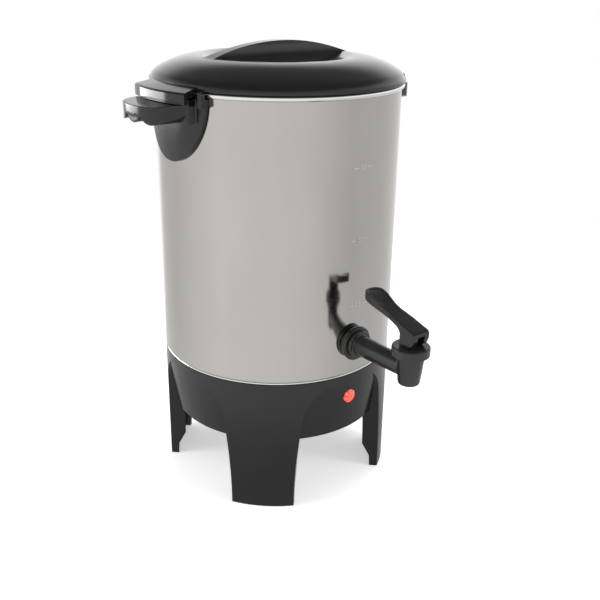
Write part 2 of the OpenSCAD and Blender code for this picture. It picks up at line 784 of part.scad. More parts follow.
// Contact pins that stand on the floor of the inlet mouth, with thinner tails
module inlet_pins() {
    color("silver") for (side = [-1, 1]) {
        bar_y(inlet_pin_d, mouth_y, power_face_y - 3, inlet_z, side * inlet_pitch / 2);
        bar_y(pin_tail_d, power_face_y - inlet_depth - 5, mouth_y + eps, inlet_z,
            side * inlet_pitch / 2);
    }
}

// Domed lens with a shank through the skirt
module indicator_lens() {
    skin_y = -skirt_out(light_z);
    color("red") difference() {
        union() {
            bar_y(lens_d, skin_y - 1.2, skin_y + 0.5, light_z);
            intersection() {
                translate([0, skin_y - 1.2 + lens_d * 0.6, light_z]) sphere(d = lens_d * 1.56);
                bar_y(lens_d, skin_y - 5, skin_y - 1.1, light_z);
            }
            bar_y(lens_hole_d - 2 * seat_gap, skin_y - 0.2, skin_y + 13, light_z);
        }
        bar_y(lens_hole_d - 2, skin_y + 2, skin_y + 14, light_z);
        translate([0, 0, skirt_z]) difference() {
            cylinder(r1 = skirt_r + seat_gap, r2 = tank_r + seat_gap, h = band_z - skirt_z);
            bar_y(lens_hole_d - 2 * seat_gap, -2 * tank_r, 0, light_z - skirt_z);
        }
    }
}

module indicator_lamp() {
    skin_y = -skirt_out(light_z);
    color("orange") bar_y(lens_hole_d - 2 - 2 * run_gap, skin_y + 3, skin_y + 17, light_z);
}

module lens_retainer() {
    disc_d = lens_d + 3;
    back_y = -skirt_in(light_z) + disc_d / 2 * skirt_slope + seat_gap;
    color("silver") difference() {
        bar_y(disc_d, back_y, back_y + 1.2, light_z);
        bar_y(lens_hole_d - 2 * seat_gap + 2 * run_gap, back_y - 1, back_y + 2, light_z);
    }
}

// ----------------------------------------------------------------- tap

// Moulded tap body: threaded tail, shank, valve chamber and spout
module tap_body() {
    shank_end = valve_y + 4;
    color("#1c1c1e") difference() {
        union() {
            bar_y(tail_d, collar_y - 1, -tank_r + 13, tap_z);
            bar_y(shoulder_d, collar_y - shoulder_t, collar_y, tap_z);
            translate([0, shank_end, tap_z]) rotate([-90, 0, 0]) cylinder(
                d1 = shank_d - 1.4, d2 = shank_d, h = collar_y - shoulder_t - shank_end + eps);
            translate([0, valve_y, tip_z]) valve_outside();
        }
        bar_y(flow_d, valve_y, -tank_r + 14, tap_z);
        translate([0, valve_y, seat_z]) cylinder(d = chamber_d, h = cap_top - seat_z);
        translate([0, valve_y, tip_z - 1]) cylinder(d = outlet_d, h = seat_z - tip_z + 2);
    }
}

// Outside of the valve, standing on its spout end
module valve_outside() {
    rotate_extrude() {
        polygon([[0, 1], [0, 0], [valve_tip_d / 2 - 1, 0], [valve_tip_d / 2, 1],
            [valve_top_d / 2, cap_z - tip_z - 1], [neck_d / 2 - seat_gap, cap_z - tip_z],
            [neck_d / 2 - seat_gap, neck_z - tip_z], [0, neck_z - tip_z]]);
    }
}

// Collar with a hollow back that follows the tank wall
module tap_collar() {
    color("#1c1c1e") difference() {
        union() {
            bar_y(collar_d - 1.6, collar_y, -tank_r + 4, tap_z);
            bar_y(collar_d, collar_y + 0.8, -tank_r + 4, tap_z);
        }
        cylinder(r = tank_r + fit_gap, h = rim_z);
        bar_y(tail_d + 2 * run_gap, collar_y - 1, 0, tap_z);
        intersection() {
            bar_y(collar_d - 8, -tank_r - 4, 0, tap_z);
            cylinder(r = tank_r + 1.7, h = rim_z);
        }
    }
}

// Soft washers on both sides of the tank wall
module tap_washers() {
    color("white") {
        difference() {
            intersection() {
                bar_y(collar_d - 8 - 2 * seat_gap, -tank_r - 4, 0, tap_z);
                ring(tank_r + seat_gap, tank_r + 1.6, floor_z, rim_z);
            }
            bar_y(tail_d + 2 * run_gap, -2 * tank_r, 0, tap_z);
        }
        difference() {
            bar_y(collar_d - 8, -tank_r, -tank_r + 4, tap_z);
            ring(tank_in_r - seat_gap, 2 * tank_r, floor_z, rim_z);
            bar_y(tail_d + 2 * run_gap, -2 * tank_r, 0, tap_z);
        }
    }
}

module tap_nut() {
    color("silver") difference() {
        translate([0, -tank_r + 4, tap_z]) rotate([-90, 0, 0]) cylinder(d = tail_d + 9, h = 5, $fn = 6);
        bar_y(tail_d + 2 * run_gap, -tank_r, 0, tap_z);
    }
}

module tap_cap() {
    color("#1c1c1e") translate([0, valve_y, 0]) difference() {
        rotate_extrude() polygon([[0, cap_z], [cap_d / 2, cap_z], [cap_d / 2, cap_top - 1.5],
            [cap_d / 2 - 1.5, cap_top], [0, cap_top]]);
        translate([0, 0, cap_z - 1]) cylinder(d = neck_d, h = cap_top - cap_roof - cap_z + 1);
        translate([0, 0, cap_z]) cylinder(d = stem_d + 2 * run_gap, h = cap_h + 1);
    }
}

// Stem with a flat eye at its top and a ball at its foot
module valve_stem() {
    eye_w = slot_w - 2 * fit_gap;
    color("silver") translate([0, valve_y, 0]) difference() {
        union() {
            translate([0, 0, seat_z + 4]) cylinder(d = stem_d, h = pin_z - seat_z - 4);
            translate([0, 0, pin_z]) pin_x(2 * (slot_r - fit_gap), eye_w);
        }
        translate([0, 0, pin_z]) pin_x(pin_d + 2 * run_gap, 3 * slot_w);
    }
}

// Silicone cup that closes the spout
module seat_cup() {
    color("white") translate([0, valve_y, seat_z]) difference() {
        union() {
            cylinder(d = chamber_d - 1.6, h = 3);
            cylinder(d = spring_r * 2 + spring_wire + 1, h = cup_h);
        }
        translate([0, 0, 4 - seat_gap]) cylinder(d = stem_d + 2 * run_gap, h = cup_h);
    }
}

// Coil spring between the cup and the cap
module valve_spring() {
    per_turn = 16;
    rings = spring_turns * per_turn;
    z0 = seat_z + cup_h + spring_wire / 2 + seat_gap;
    z1 = cap_top - cap_roof - spring_wire / 2 - seat_gap;
    color("silver") translate([0, valve_y, 0]) tube_along([for (i = [0 : rings])
        let (a = 360 * i / per_turn)
        [spring_r * cos(a), spring_r * sin(a), z0 + (z1 - z0) * i / rings]],
        spring_wire / 2, 8);
}

module lever_pin() {
    color("silver") translate([0, valve_y, pin_z]) pin_x(pin_d, lever_w);
}

// Side of the lever relative to its pin: u points to the tank, v up.
// The cam edge keeps the same gap above the cap over the whole swing.
module lever_side() {
    reach = lever_len;
    cam = [for (a = [lever_swing + 4 : -4 : 0]) let (h = cam_h0 + cam_lift * a * PI / 180)
        [-h * sin(a) - cam_lift * cos(a), -h * cos(a) + cam_lift * sin(a)]];
    under = curve([[cheek_y, 3.5], [cheek_y + 0.5, 7], [9, 8.3], [13, 9.3]], 6);
    belly = curve([[13, 9.3], [0.5 * reach, 11.8], [0.75 * reach, 15], [reach - 3.5, 17.6]], 6);
    nose = curve([[reach - 3.5, 17.6], [reach - 0.6, 18.6], [reach + 0.6, 22.4],
        [reach - 3.5, 23.6]], 8);
    back = curve([[reach - 3.5, 23.6], [reach - 9, 25], [0.7 * reach, 23], [0.5 * reach, 18.6]], 6);
    crown = curve([[0.5 * reach, 18.6], [12, 14.4], [2, 10.6], [-7, 7.6]], 5);
    heel = curve([[-7, 7.6], [-11.5, 6], [-10, 3], cam[0] + [-0.4, 1.4]], 6);
    polygon(concat([[cheek_y, -cam_h0]], under, belly, nose, back, crown, heel, cam));
}

// Lever seen from above: even cheeks, a waist and a round paddle
module lever_plan() {
    w = lever_w / 2;
    side = curve([[3, w], [12, w], [14, w - 1.4], [20, w - 1.4]], 6);
    flare = curve([[20, w - 1.4], [28, w - 1.4], [lever_len - 16, w], [lever_len - w, w]], 6);
    edge = concat([[-20, w]], side, [for (i = [1 : 6]) flare[i]]);
    tip = arc(lever_len - w, 0, w, 84, 0, 10);
    far = concat(edge, tip);
    polygon(concat(far, [for (i = [len(far) - 2 : -1 : 0]) [far[i][0], -far[i][1]]]));
}

module tap_lever() {
    color("#1c1c1e") translate([0, valve_y, pin_z]) difference() {
        intersection() {
            rotate([90, 0, 90]) linear_extrude(lever_w, center = true) lever_side();
            rotate(90) translate([0, 0, -20]) linear_extrude(60) lever_plan();
        }
        translate([-slot_w / 2, -40, -40]) cube([slot_w, 80, 40]);
        translate([-slot_w / 2, -40, -1]) cube([slot_w, 40, 1 + slot_r]);
        translate([-slot_w / 2, -1, -1]) cube([slot_w, 20, 1 + slot_r]);
        pin_x(pin_d + 2 * run_gap, 2 * lever_w);
    }
}

// ------------------------------------------------------ pump and basket

// Riser tube with the ring that carries the basket
module pump_tube() {
    color("silver") difference() {
        union() {
            translate([0, 0, foot_z + 1]) cylinder(d = tube_d, h = tube_top - foot_z - 1);
            translate([0, 0, basket_z - 2.3]) cylinder(d = tube_d + 7, h = 2);
        }
        translate([0, 0, foot_z]) cylinder(d = tube_d - 2 * tube_wall, h = tube_top);
    }
}

// Bell that sits in the well and traps the steam
module pump_foot() {
    r = foot_d / 2;
    color("silver") difference() {
        rotate_extrude() polygon([[r, foot_z], [r, foot_z + 1.2],
            [tube_d / 2 + 3, foot_z + foot_h], [tube_d / 2 + run_gap, foot_z + foot_h],
            [tube_d / 2 + run_gap, foot_z + foot_h - 2], [r - 1.4, foot_z]]);
        for (a = [0 : 60 : 300]) rotate(a) translate([r - 4, -1.5, foot_z - 1])
            cube([6, 3, 1.8]);
    }
}

// Basket with a strainer floor and a sleeve that slides on the tube
module coffee_basket() {
    color("silver") difference() {
        union() {
            translate([0, 0, basket_z]) cylinder(r = basket_r, h = basket_h);
            ring(basket_r - 1, basket_r + 1.5, basket_z + basket_h - 1.2, basket_z + basket_h);
        }
        ring(sleeve_r + basket_wall, basket_r - basket_wall, basket_z + basket_wall, rim_z);
        translate([0, 0, basket_z - 1]) cylinder(r = sleeve_r, h = basket_h + 2);
        translate([0, 0, basket_z + 16]) cylinder(r = sleeve_r + 2 * basket_wall, h = basket_h);
        strainer_holes([[18, 8], [32, 14], [46, 20]], basket_z - 1, basket_wall + 2);
    }
}

// Rings of strainer holes: each entry is a radius and a number of holes
module strainer_holes(rings, z, h) {
    for (row = rings, i = [0 : row[1] - 1]) rotate(360 * i / row[1])
        translate([row[0], 0, z]) cylinder(d = strain_d, h = h, $fn = 24);
}

// Spreader plate that lies on the basket rim
module basket_cover() {
    z = basket_z + basket_h + rim_gap;
    color("silver") difference() {
        union() {
            translate([0, 0, z]) cylinder(r = basket_r + 1.5, h = basket_wall);
            ring(basket_r - 2 - basket_wall, basket_r - 2, z - 3, z + eps);
            translate([0, 0, z]) cylinder(r = sleeve_r + 3, h = 4);
        }
        translate([0, 0, z - 4]) cylinder(r = sleeve_r, h = 10);
        strainer_holes([[20, 8], [36, 14]], z - 1, basket_wall + 2);
    }
}

tank();
lid();
left_side_handle();
right_side_handle();
handle_screws();
handle_washers();
base_shell();
bottom_cover();
cover_screws();
centre_stud();
stud_nuts();
pump_heater();
keep_warm_heater();
thermostat();
thermal_fuse();
wiring();
power_inlet();
inlet_pins();
indicator_lens();
indicator_lamp();
lens_retainer();
tap_body();
tap_collar();
tap_washers();
tap_nut();
tap_cap();
tap_lever();
lever_pin();
valve_stem();
seat_cup();
valve_spring();
pump_tube();
pump_foot();
coffee_basket();
basket_cover();
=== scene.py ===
# %% [markdown]
# # A coffee urn, dressed
# The solids of the urn come in as a fixed frame: a steel tank, a moulded lid,
# two side handles, a base on four legs and a tap.  This lesson gives them the
# surfaces of the real thing and builds the pieces that need rounder edges or
# finer detail than a solid carries.

# %% Load the frame
import bpy
import bmesh
import math
from mathutils import Matrix, Vector


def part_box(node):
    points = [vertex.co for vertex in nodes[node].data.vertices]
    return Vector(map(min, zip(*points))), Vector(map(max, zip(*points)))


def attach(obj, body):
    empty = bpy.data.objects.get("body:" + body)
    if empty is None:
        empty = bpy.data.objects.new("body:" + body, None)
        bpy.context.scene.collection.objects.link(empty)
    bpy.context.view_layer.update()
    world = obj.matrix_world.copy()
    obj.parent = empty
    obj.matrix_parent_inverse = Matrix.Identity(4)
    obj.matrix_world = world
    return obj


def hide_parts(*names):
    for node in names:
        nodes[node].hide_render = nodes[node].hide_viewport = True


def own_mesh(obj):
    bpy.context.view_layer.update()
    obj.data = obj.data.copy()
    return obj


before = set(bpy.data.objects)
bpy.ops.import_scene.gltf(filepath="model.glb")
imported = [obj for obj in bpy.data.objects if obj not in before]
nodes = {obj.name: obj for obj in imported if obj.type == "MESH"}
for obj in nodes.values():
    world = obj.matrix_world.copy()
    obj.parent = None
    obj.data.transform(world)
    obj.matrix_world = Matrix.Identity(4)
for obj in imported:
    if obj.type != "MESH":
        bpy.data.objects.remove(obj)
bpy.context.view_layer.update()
scene = bpy.context.scene

# %% [markdown]
# ## Where the camera stands
# The tank's rim and lower edge are circles, so they fix a camera well: its
# distance, its height and how far it looks down.  The numbers below are that
# camera: a turn round the urn, a reach, a height, and three small turns of its
# own.

# %% Camera
VIEW_TURN = math.radians(-38.0)
CAMERA_REACH = 0.6514
CAMERA_HEIGHT = 0.4052
PAN = math.radians(1.708)
PITCH = math.radians(21.987)
ROLL = math.radians(0.854)
SENSOR_MM = 36.0
FOCAL_MM = 49.418

spin = Matrix.Rotation(VIEW_TURN, 3, "Z")
look = Vector((math.sin(PAN) * math.cos(PITCH), math.cos(PAN) * math.cos(PITCH),
               -math.sin(PITCH)))
level = Vector((math.cos(PAN), -math.sin(PAN), 0.0))
rise = level.cross(look)
side = level * math.cos(ROLL) + rise * math.sin(ROLL)
head = rise * math.cos(ROLL) - level * math.sin(ROLL)
axes = Matrix((spin @ side, spin @ head, spin @ -look)).transposed()

camera_data = bpy.data.cameras.new("urn_camera")
camera_data.sensor_width = SENSOR_MM
camera_data.lens = FOCAL_MM
camera_data.clip_start = 0.01
camera_data.clip_end = 50.0
camera = bpy.data.objects.new("urn_camera", camera_data)
camera.matrix_world = Matrix.Translation(
    spin @ Vector((0.0, -CAMERA_REACH, CAMERA_HEIGHT))) @ axes.to_4x4()
scene.collection.objects.link(camera)
scene.camera = camera
print("camera at", tuple(round(v, 4) for v in camera.location))

# %% [markdown]
# ## Node helpers
# Every finish below is a small node tree.  These helpers keep the trees short
# to read: one makes a material, one adds a node, one adds fine noise that
# follows the object's own coordinates.  The last four do sums, ease a value
# from one level to another, mix two shaders, and tell the rays that a mirror
# sends out from all others.

# %% Helpers for materials
def new_material(name):
    made = bpy.data.materials.new(name)
    made.use_nodes = True
    tree = made.node_tree
    return made, tree, tree.nodes["Principled BSDF"]


def add(tree, kind, **values):
    node = tree.nodes.new(kind)
    for key, value in values.items():
        if hasattr(node, key):
            setattr(node, key, value)
        else:
            node.inputs[key.replace("_", " ")].default_value = value
    return node


def noise(tree, scale, stretch=(1.0, 1.0, 1.0), detail=3.0):
    place = add(tree, "ShaderNodeTexCoord")
    turn = add(tree, "ShaderNodeMapping")
    turn.inputs["Scale"].default_value = stretch
    grain = add(tree, "ShaderNodeTexNoise", Scale=scale, Detail=detail)
    tree.links.new(place.outputs["Object"], turn.inputs["Vector"])
    tree.links.new(turn.outputs["Vector"], grain.inputs["Vector"])
    return grain.outputs["Fac"]


def between(tree, factor, low, high):
    spread = add(tree, "ShaderNodeMapRange")
    spread.inputs["From Min"].default_value = 0.3
    spread.inputs["From Max"].default_value = 0.7
    spread.inputs["To Min"].default_value = low
    spread.inputs["To Max"].default_value = high
    tree.links.new(factor, spread.inputs["Value"])
    return spread.outputs["Result"]


def tint(tree, factor, dark, light):
    ramp = add(tree, "ShaderNodeValToRGB")
    ramp.color_ramp.elements[0].position = 0.3
    ramp.color_ramp.elements[0].color = (*dark, 1.0)
    ramp.color_ramp.elements[1].position = 0.7
    ramp.color_ramp.elements[1].color = (*light, 1.0)
    tree.links.new(factor, ramp.inputs["Fac"])
    return ramp.outputs["Color"]


def relief(tree, shader, height, strength, distance):
    bump = add(tree, "ShaderNodeBump")
    bump.inputs["Strength"].default_value = strength
    bump.inputs["Distance"].default_value = distance
    tree.links.new(height, bump.inputs["Height"])
    tree.links.new(bump.outputs["Normal"], shader.inputs["Normal"])

# %% Helpers for sums and mixes
def maths(tree, kind, *values):
    node = add(tree, "ShaderNodeMath", operation=kind)
    for slot, value in enumerate(values):
        if isinstance(value, (int, float)):
            node.inputs[slot].default_value = value
        else:
            tree.links.new(value, node.inputs[slot])
    return node.outputs[0]


def eased(tree, value, start, stop, low=0.0, high=1.0):
    ease = add(tree, "ShaderNodeMapRange", interpolation_type="SMOOTHSTEP")
    ease.inputs["From Min"].default_value = start
    ease.inputs["From Max"].default_value = stop
    ease.inputs["To Min"].default_value = low
    ease.inputs["To Max"].default_value = high
    tree.links.new(value, ease.inputs["Value"])
    return ease.outputs["Result"]


def mixed(tree, factor, first, second):
    mix = add(tree, "ShaderNodeMixShader")
    tree.links.new(factor, mix.inputs[0])
    tree.links.new(first.outputs[0], mix.inputs[1])
    tree.links.new(second.outputs[0], mix.inputs[2])
    return mix


def by_mirror(tree, path):
    return maths(tree, "MAXIMUM", path.outputs["Is Glossy Ray"],
                 path.outputs["Is Transmission Ray"])

# %% [markdown]
# ## Sheet steel and other metals
# The tank is drawn from stainless sheet and buffed until it mirrors its
# surroundings.  Buffing wheels leave hair lines that run round the tank, so
# the noise is squeezed in height and stretched round the wall.  Basket, pump
# and screws get the same build with coarser grain and a duller sheen.

# %% Metals
def metal(name, dark, light, rough, grain, stretch, strength):
    made, tree, shader = new_material(name)
    shader.inputs["Metallic"].default_value = 1.0
    lines = noise(tree, grain, stretch, 4.0)
    haze = noise(tree, 22.0, (1.0, 1.0, 0.5), 3.0)
    tree.links.new(tint(tree, haze, dark, light), shader.inputs["Base Color"])
    tree.links.new(between(tree, haze, rough[0], rough[1]),
                   shader.inputs["Roughness"])
    relief(tree, shader, lines, strength, 0.0001)
    return made


BUFFED = metal("buffed_tank_steel", (0.455, 0.437, 0.415), (0.485, 0.467, 0.445),
               (0.10, 0.15), 90.0, (1.0, 1.0, 30.0), 0.035)
BRIGHT = metal("bright_screw_steel", (0.52, 0.52, 0.51), (0.64, 0.64, 0.63),
               (0.16, 0.26), 300.0, (1.0, 1.0, 8.0), 0.10)
# A lighter copy of the tank steel for the rolled rim and the foot seam: its brighter colour is
# a painted highlight.
LIT_BEAD_STEEL = metal("rolled_edge_steel", (0.66, 0.65, 0.63), (0.76, 0.75, 0.73),
                   (0.10, 0.18), 200.0, (1.0, 1.0, 8.0), 0.04)
DULL_CAST = metal("cast_aluminium", (0.42, 0.42, 0.41), (0.58, 0.58, 0.57),
                  (0.38, 0.55), 700.0, (1.0, 1.0, 1.0), 0.35)
SPUN = metal("spun_aluminium", (0.62, 0.62, 0.61), (0.74, 0.74, 0.73),
             (0.24, 0.34), 140.0, (1.0, 1.0, 24.0), 0.15)
PIN_DARK = metal("blackened_pin_steel", (0.07, 0.07, 0.07), (0.11, 0.11, 0.11),
                 (0.30, 0.40), 500.0, (1.0, 1.0, 1.0), 0.10)
BRASS = metal("plated_brass", (0.55, 0.45, 0.26), (0.66, 0.55, 0.33),
              (0.20, 0.30), 300.0, (1.0, 1.0, 1.0), 0.12)
print("metals ready")

# %% [markdown]
# ## Moulded plastics
# Lid, handles and base come out of a polished mould: black, glossy, with the
# very slight orange peel that thick mouldings show.  The tap is moulded from a
# heat-proof plastic with a softer sheen; its body and cap are painted lighter,
# a painted haze of steam.  Tiny dust and rubbing marks only change the
# roughness, never the colour much.

# %% Plastics
def plastic(name, dark, light, rough, peel, strength):
    made, tree, shader = new_material(name)
    wear = noise(tree, 35.0, (1.0, 1.0, 1.0), 5.0)
    tree.links.new(tint(tree, wear, dark, light), shader.inputs["Base Color"])
    tree.links.new(between(tree, wear, rough[0], rough[1]),
                   shader.inputs["Roughness"])
    skin = noise(tree, peel, (1.0, 1.0, 1.0), 2.0)
    relief(tree, shader, skin, strength, 0.0002)
    shader.inputs["IOR"].default_value = 1.49
    return made


GLOSS = plastic("gloss_black_moulding", (0.007, 0.007, 0.008),
                (0.010, 0.010, 0.011), (0.11, 0.16), 260.0, 0.05)
BASE_BLACK = plastic("base_black_moulding", (0.008, 0.008, 0.0095),
                     (0.012, 0.012, 0.014), (0.16, 0.22), 320.0, 0.06)
TAP_BLACK = plastic("tap_black_moulding", (0.010, 0.010, 0.010),
                    (0.016, 0.016, 0.016), (0.20, 0.28), 420.0, 0.08)
# Tap body, cap and tail thread: the tap plastic painted lighter, a painted haze of steam over
# the black.
TAP_BLACK_PAINTED_HAZE = plastic("tap_body_moulding", (0.020, 0.020, 0.020),
                   (0.030, 0.030, 0.030), (0.14, 0.24), 420.0, 0.08)
MATT = plastic("matt_black_moulding", (0.014, 0.014, 0.014),
               (0.022, 0.022, 0.022), (0.42, 0.55), 900.0, 0.25)
SILICONE = plastic("grey_silicone", (0.30, 0.30, 0.29), (0.38, 0.38, 0.37),
                   (0.45, 0.55), 600.0, 0.15)
MICA = plastic("mica_board", (0.30, 0.24, 0.16), (0.42, 0.35, 0.25),
               (0.40, 0.60), 240.0, 0.30)
RED_COVER = plastic("red_wire_cover", (0.30, 0.012, 0.010),
                    (0.38, 0.020, 0.015), (0.38, 0.48), 500.0, 0.12)
CERAMIC = plastic("ivory_ceramic", (0.62, 0.58, 0.48), (0.70, 0.66, 0.56),
                  (0.35, 0.50), 500.0, 0.12)
print("plastics ready")

# %% [markdown]
# ## The glowing lens
# Behind the red lens sits a small lamp.  The lens is clear red plastic with
# flat wedges moulded on its back, which break the light up like a little pie.
# A mild glow is added to the shader, so it looks lit at any hour.

# %% Lens and lamp
LENS_WEDGES = 7.0


def lamp_lens():
    made, tree, shader = new_material("lit_red_lens")
    centre = [(low + high) / 2.0 for low, high in zip(*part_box("indicator_lens"))]
    place = add(tree, "ShaderNodeTexCoord")
    shift = add(tree, "ShaderNodeMapping")
    shift.inputs["Location"].default_value = [-value for value in centre]
    swing = add(tree, "ShaderNodeMapping")
    swing.inputs["Rotation"].default_value = (math.pi / 2.0, 0.0, 0.0)
    round_it = add(tree, "ShaderNodeTexGradient", gradient_type="RADIAL")
    tree.links.new(place.outputs["Object"], shift.inputs["Vector"])
    tree.links.new(shift.outputs["Vector"], swing.inputs["Vector"])
    tree.links.new(swing.outputs["Vector"], round_it.inputs["Vector"])
    wedge = maths(tree, "FRACT", maths(tree, "MULTIPLY", round_it.outputs["Fac"], LENS_WEDGES))
    glow = tint(tree, wedge, (0.86, 0.045, 0.03), (1.0, 0.16, 0.11))
    tree.links.new(glow, shader.inputs["Base Color"])
    tree.links.new(glow, shader.inputs["Emission Color"])
    shader.inputs["Emission Strength"].default_value = 0.65
    shader.inputs["Roughness"].default_value = 0.12
    return made


def lamp_glass():
    made, tree, shader = new_material("lamp_glass")
    haze = noise(tree, 400.0)
    tree.links.new(tint(tree, haze, (0.9, 0.30, 0.16), (1.0, 0.45, 0.28)),
                   shader.inputs["Base Color"])
    shader.inputs["Emission Color"].default_value = (1.0, 0.25, 0.12, 1.0)
    shader.inputs["Emission Strength"].default_value = 0.6
    shader.inputs["Roughness"].default_value = 0.1
    return made


LENS = lamp_lens()
GLASS = lamp_glass()
print("lens ready")

# %% [markdown]
# ## One finish for each solid
# Every solid gets the finish of the thing it stands for.  Those that a finer
# piece replaces below keep theirs too, so nothing is ever left bare.

# %% Give each solid its finish
FINISH = {
    "tank": BUFFED, "lid": GLOSS, "left_side_handle": GLOSS,
    "right_side_handle": GLOSS, "handle_screws": BRIGHT,
    "handle_washers": BRIGHT, "base_shell": BASE_BLACK, "bottom_cover": MATT,
    "cover_screws": BRIGHT, "centre_stud": BRIGHT, "stud_nuts": BRIGHT,
    "pump_heater": DULL_CAST, "keep_warm_heater": MICA, "thermostat": CERAMIC,
    "thermal_fuse": BRIGHT, "wiring": RED_COVER, "power_inlet": MATT,
    "inlet_pins": BRASS, "indicator_lens": LENS, "indicator_lamp": GLASS,
    "lens_retainer": BRIGHT, "tap_body": TAP_BLACK, "tap_collar": TAP_BLACK,
    "tap_washers": SILICONE, "tap_nut": MATT, "tap_cap": TAP_BLACK,
    "tap_lever": TAP_BLACK, "lever_pin": PIN_DARK, "valve_stem": TAP_BLACK,
    "seat_cup": SILICONE, "valve_spring": BRIGHT, "pump_tube": SPUN,
    "pump_foot": SPUN, "coffee_basket": SPUN, "basket_cover": SPUN,
}
for name, finish in FINISH.items():
    mesh = nodes[name].data
    mesh.materials.clear()
    mesh.materials.append(finish)
print("finished solids:", len(FINISH))

# %% [markdown]
# ## A small kit for solid shapes
# The next pieces are drawn the way a mould maker thinks of them: an outline
# pushed straight through, or a section turned round an axis, then cut with
# other shapes.  All sizes are in millimetres and turn into metres at the end.

# %% Prism and turned shape
MM = 0.001


def placed(name, mesh):
    piece = bpy.data.objects.new(name, mesh)
    scene.collection.objects.link(piece)
    return piece


def solid(name, points, faces):
    mesh = bpy.data.meshes.new(name)
    mesh.from_pydata([tuple(MM * v for v in point) for point in points], [], faces)
    shape = bmesh.new()
    shape.from_mesh(mesh)
    bmesh.ops.remove_doubles(shape, verts=shape.verts, dist=1e-7)
    bmesh.ops.dissolve_degenerate(shape, dist=1e-7, edges=shape.edges)
    bmesh.ops.recalc_face_normals(shape, faces=shape.faces)
    shape.to_mesh(mesh)
    shape.free()
    return placed(name, mesh)


def prism(name, outline, low, high, along="Z"):
    lift = {"Z": lambda u, v, w: (u, v, w), "X": lambda u, v, w: (w, u, v),
            "Y": lambda u, v, w: (u, w, v)}[along]
    count = len(outline)
    points = [lift(u, v, w) for w in (low, high) for u, v in outline]
    faces = [tuple(range(count)), tuple(range(count, 2 * count))]
    faces += [(i, (i + 1) % count, count + (i + 1) % count, count + i)
              for i in range(count)]
    return solid(name, points, faces)


def turned(name, section, steps=192):
    count = len(section)
    points = [(r * math.cos(math.tau * k / steps), r * math.sin(math.tau * k / steps), z)
              for k in range(steps) for r, z in section]
    faces = [(k * count + i, k * count + (i + 1) % count,
              (k + 1) % steps * count + (i + 1) % count, (k + 1) % steps * count + i)
             for k in range(steps) for i in range(count)]
    return solid(name, points, faces)


def box(name, low, high):
    outline = [(low[0], low[1]), (high[0], low[1]), (high[0], high[1]), (low[0], high[1])]
    return prism(name, outline, low[2], high[2])

# %% Curves for outlines
def arc(x, y, r, start, stop, steps):
    turns = [math.radians(start + (stop - start) * i / steps) for i in range(steps + 1)]
    return [(x + r * math.cos(turn), y + r * math.sin(turn)) for turn in turns]


def bend(ends, steps):
    made = []
    for i in range(steps + 1):
        t = i / steps
        weights = ((1 - t) ** 3, 3 * t * (1 - t) ** 2, 3 * t * t * (1 - t), t ** 3)
        made.append(tuple(sum(w * point[axis] for w, point in zip(weights, ends))
                          for axis in (0, 1)))
    return made

# %% Move, cut, join and melt
def moved(piece, place=(0.0, 0.0, 0.0), turn=0.0, about="Z"):
    piece.data.transform(Matrix.Translation([MM * v for v in place])
                         @ Matrix.Rotation(math.radians(turn), 4, about))
    return piece


def baked(piece):
    scan = bpy.context.evaluated_depsgraph_get()
    plain = bpy.data.meshes.new_from_object(piece.evaluated_get(scan))
    piece.modifiers.clear()
    piece.data = plain
    return piece


def cut(piece, tool, how="DIFFERENCE"):
    step = piece.modifiers.new("cut", "BOOLEAN")
    step.operation = how
    step.solver = "EXACT"
    step.object = tool
    baked(piece)
    bpy.data.objects.remove(tool)
    return piece


def joined(name, pieces):
    shape = bmesh.new()
    for piece in pieces:
        shape.from_mesh(piece.data)
        bpy.data.objects.remove(piece)
    mesh = bpy.data.meshes.new(name)
    shape.to_mesh(mesh)
    shape.free()
    return placed(name, mesh)


def smoothed(piece):
    for face in piece.data.polygons:
        face.use_smooth = True
    return piece


def melted(piece, grain, passes):
    skin = piece.modifiers.new("skin", "REMESH")
    skin.mode = "VOXEL"
    skin.voxel_size = grain * MM
    soft = piece.modifiers.new("soft", "SMOOTH")
    soft.factor = 0.5
    soft.iterations = passes
    return smoothed(baked(piece))

# %% Dress a piece and tie it to its body
def finished(piece, finish, slot, body, *stands_for):
    piece.data.materials.clear()
    piece.data.materials.append(finish)
    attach(piece, body)
    if stands_for:
        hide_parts(*stands_for)
    print(piece.name, "faces", len(piece.data.polygons))
    return piece

# %% [markdown]
# ## Side handles
# Each handle is one moulding: a half oval plate that hugs the tank, a thick
# block under the lid's ear, a flat grip that narrows outwards and three finger
# lobes under it.  The blocks are drawn apart, then a fine voxel skin melts
# them into one body, which gives every corner the small fillet of a moulding.

# %% Handle sizes
TANK_R = 95.0
RIM_Z = 324.0
PLATE_TOP = 321.6
PLATE_IN_R = TANK_R + 0.4
PLATE_T = 2.8
PLATE_HALF_W = 36.8
PLATE_H = 47.4
BLOCK_H = 17.0
BLOCK_OUT = 9.2
GRIP_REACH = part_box("right_side_handle")[1][0] / MM - 0.05
GRIP_ROOT_W = 58.0
GRIP_END_W = 51.0
GRIP_END_R = 54.0
GRIP_CORNER_R = 12.0
GRIP_TOP = 316.8
GRIP_ROOT_TOP = 318.0
GRIP_T = 6.5
LOBE_R = 10.0
LOBE_PITCH = 18.4
POST_TURN = 21.0
POST_HALF_W = 2.2
# Inner face, outer face and top of the two posts that guide the lid's ear
POSTS = ((98.9, 102.9, PLATE_TOP + 5), (96.4, 99.5, PLATE_TOP))


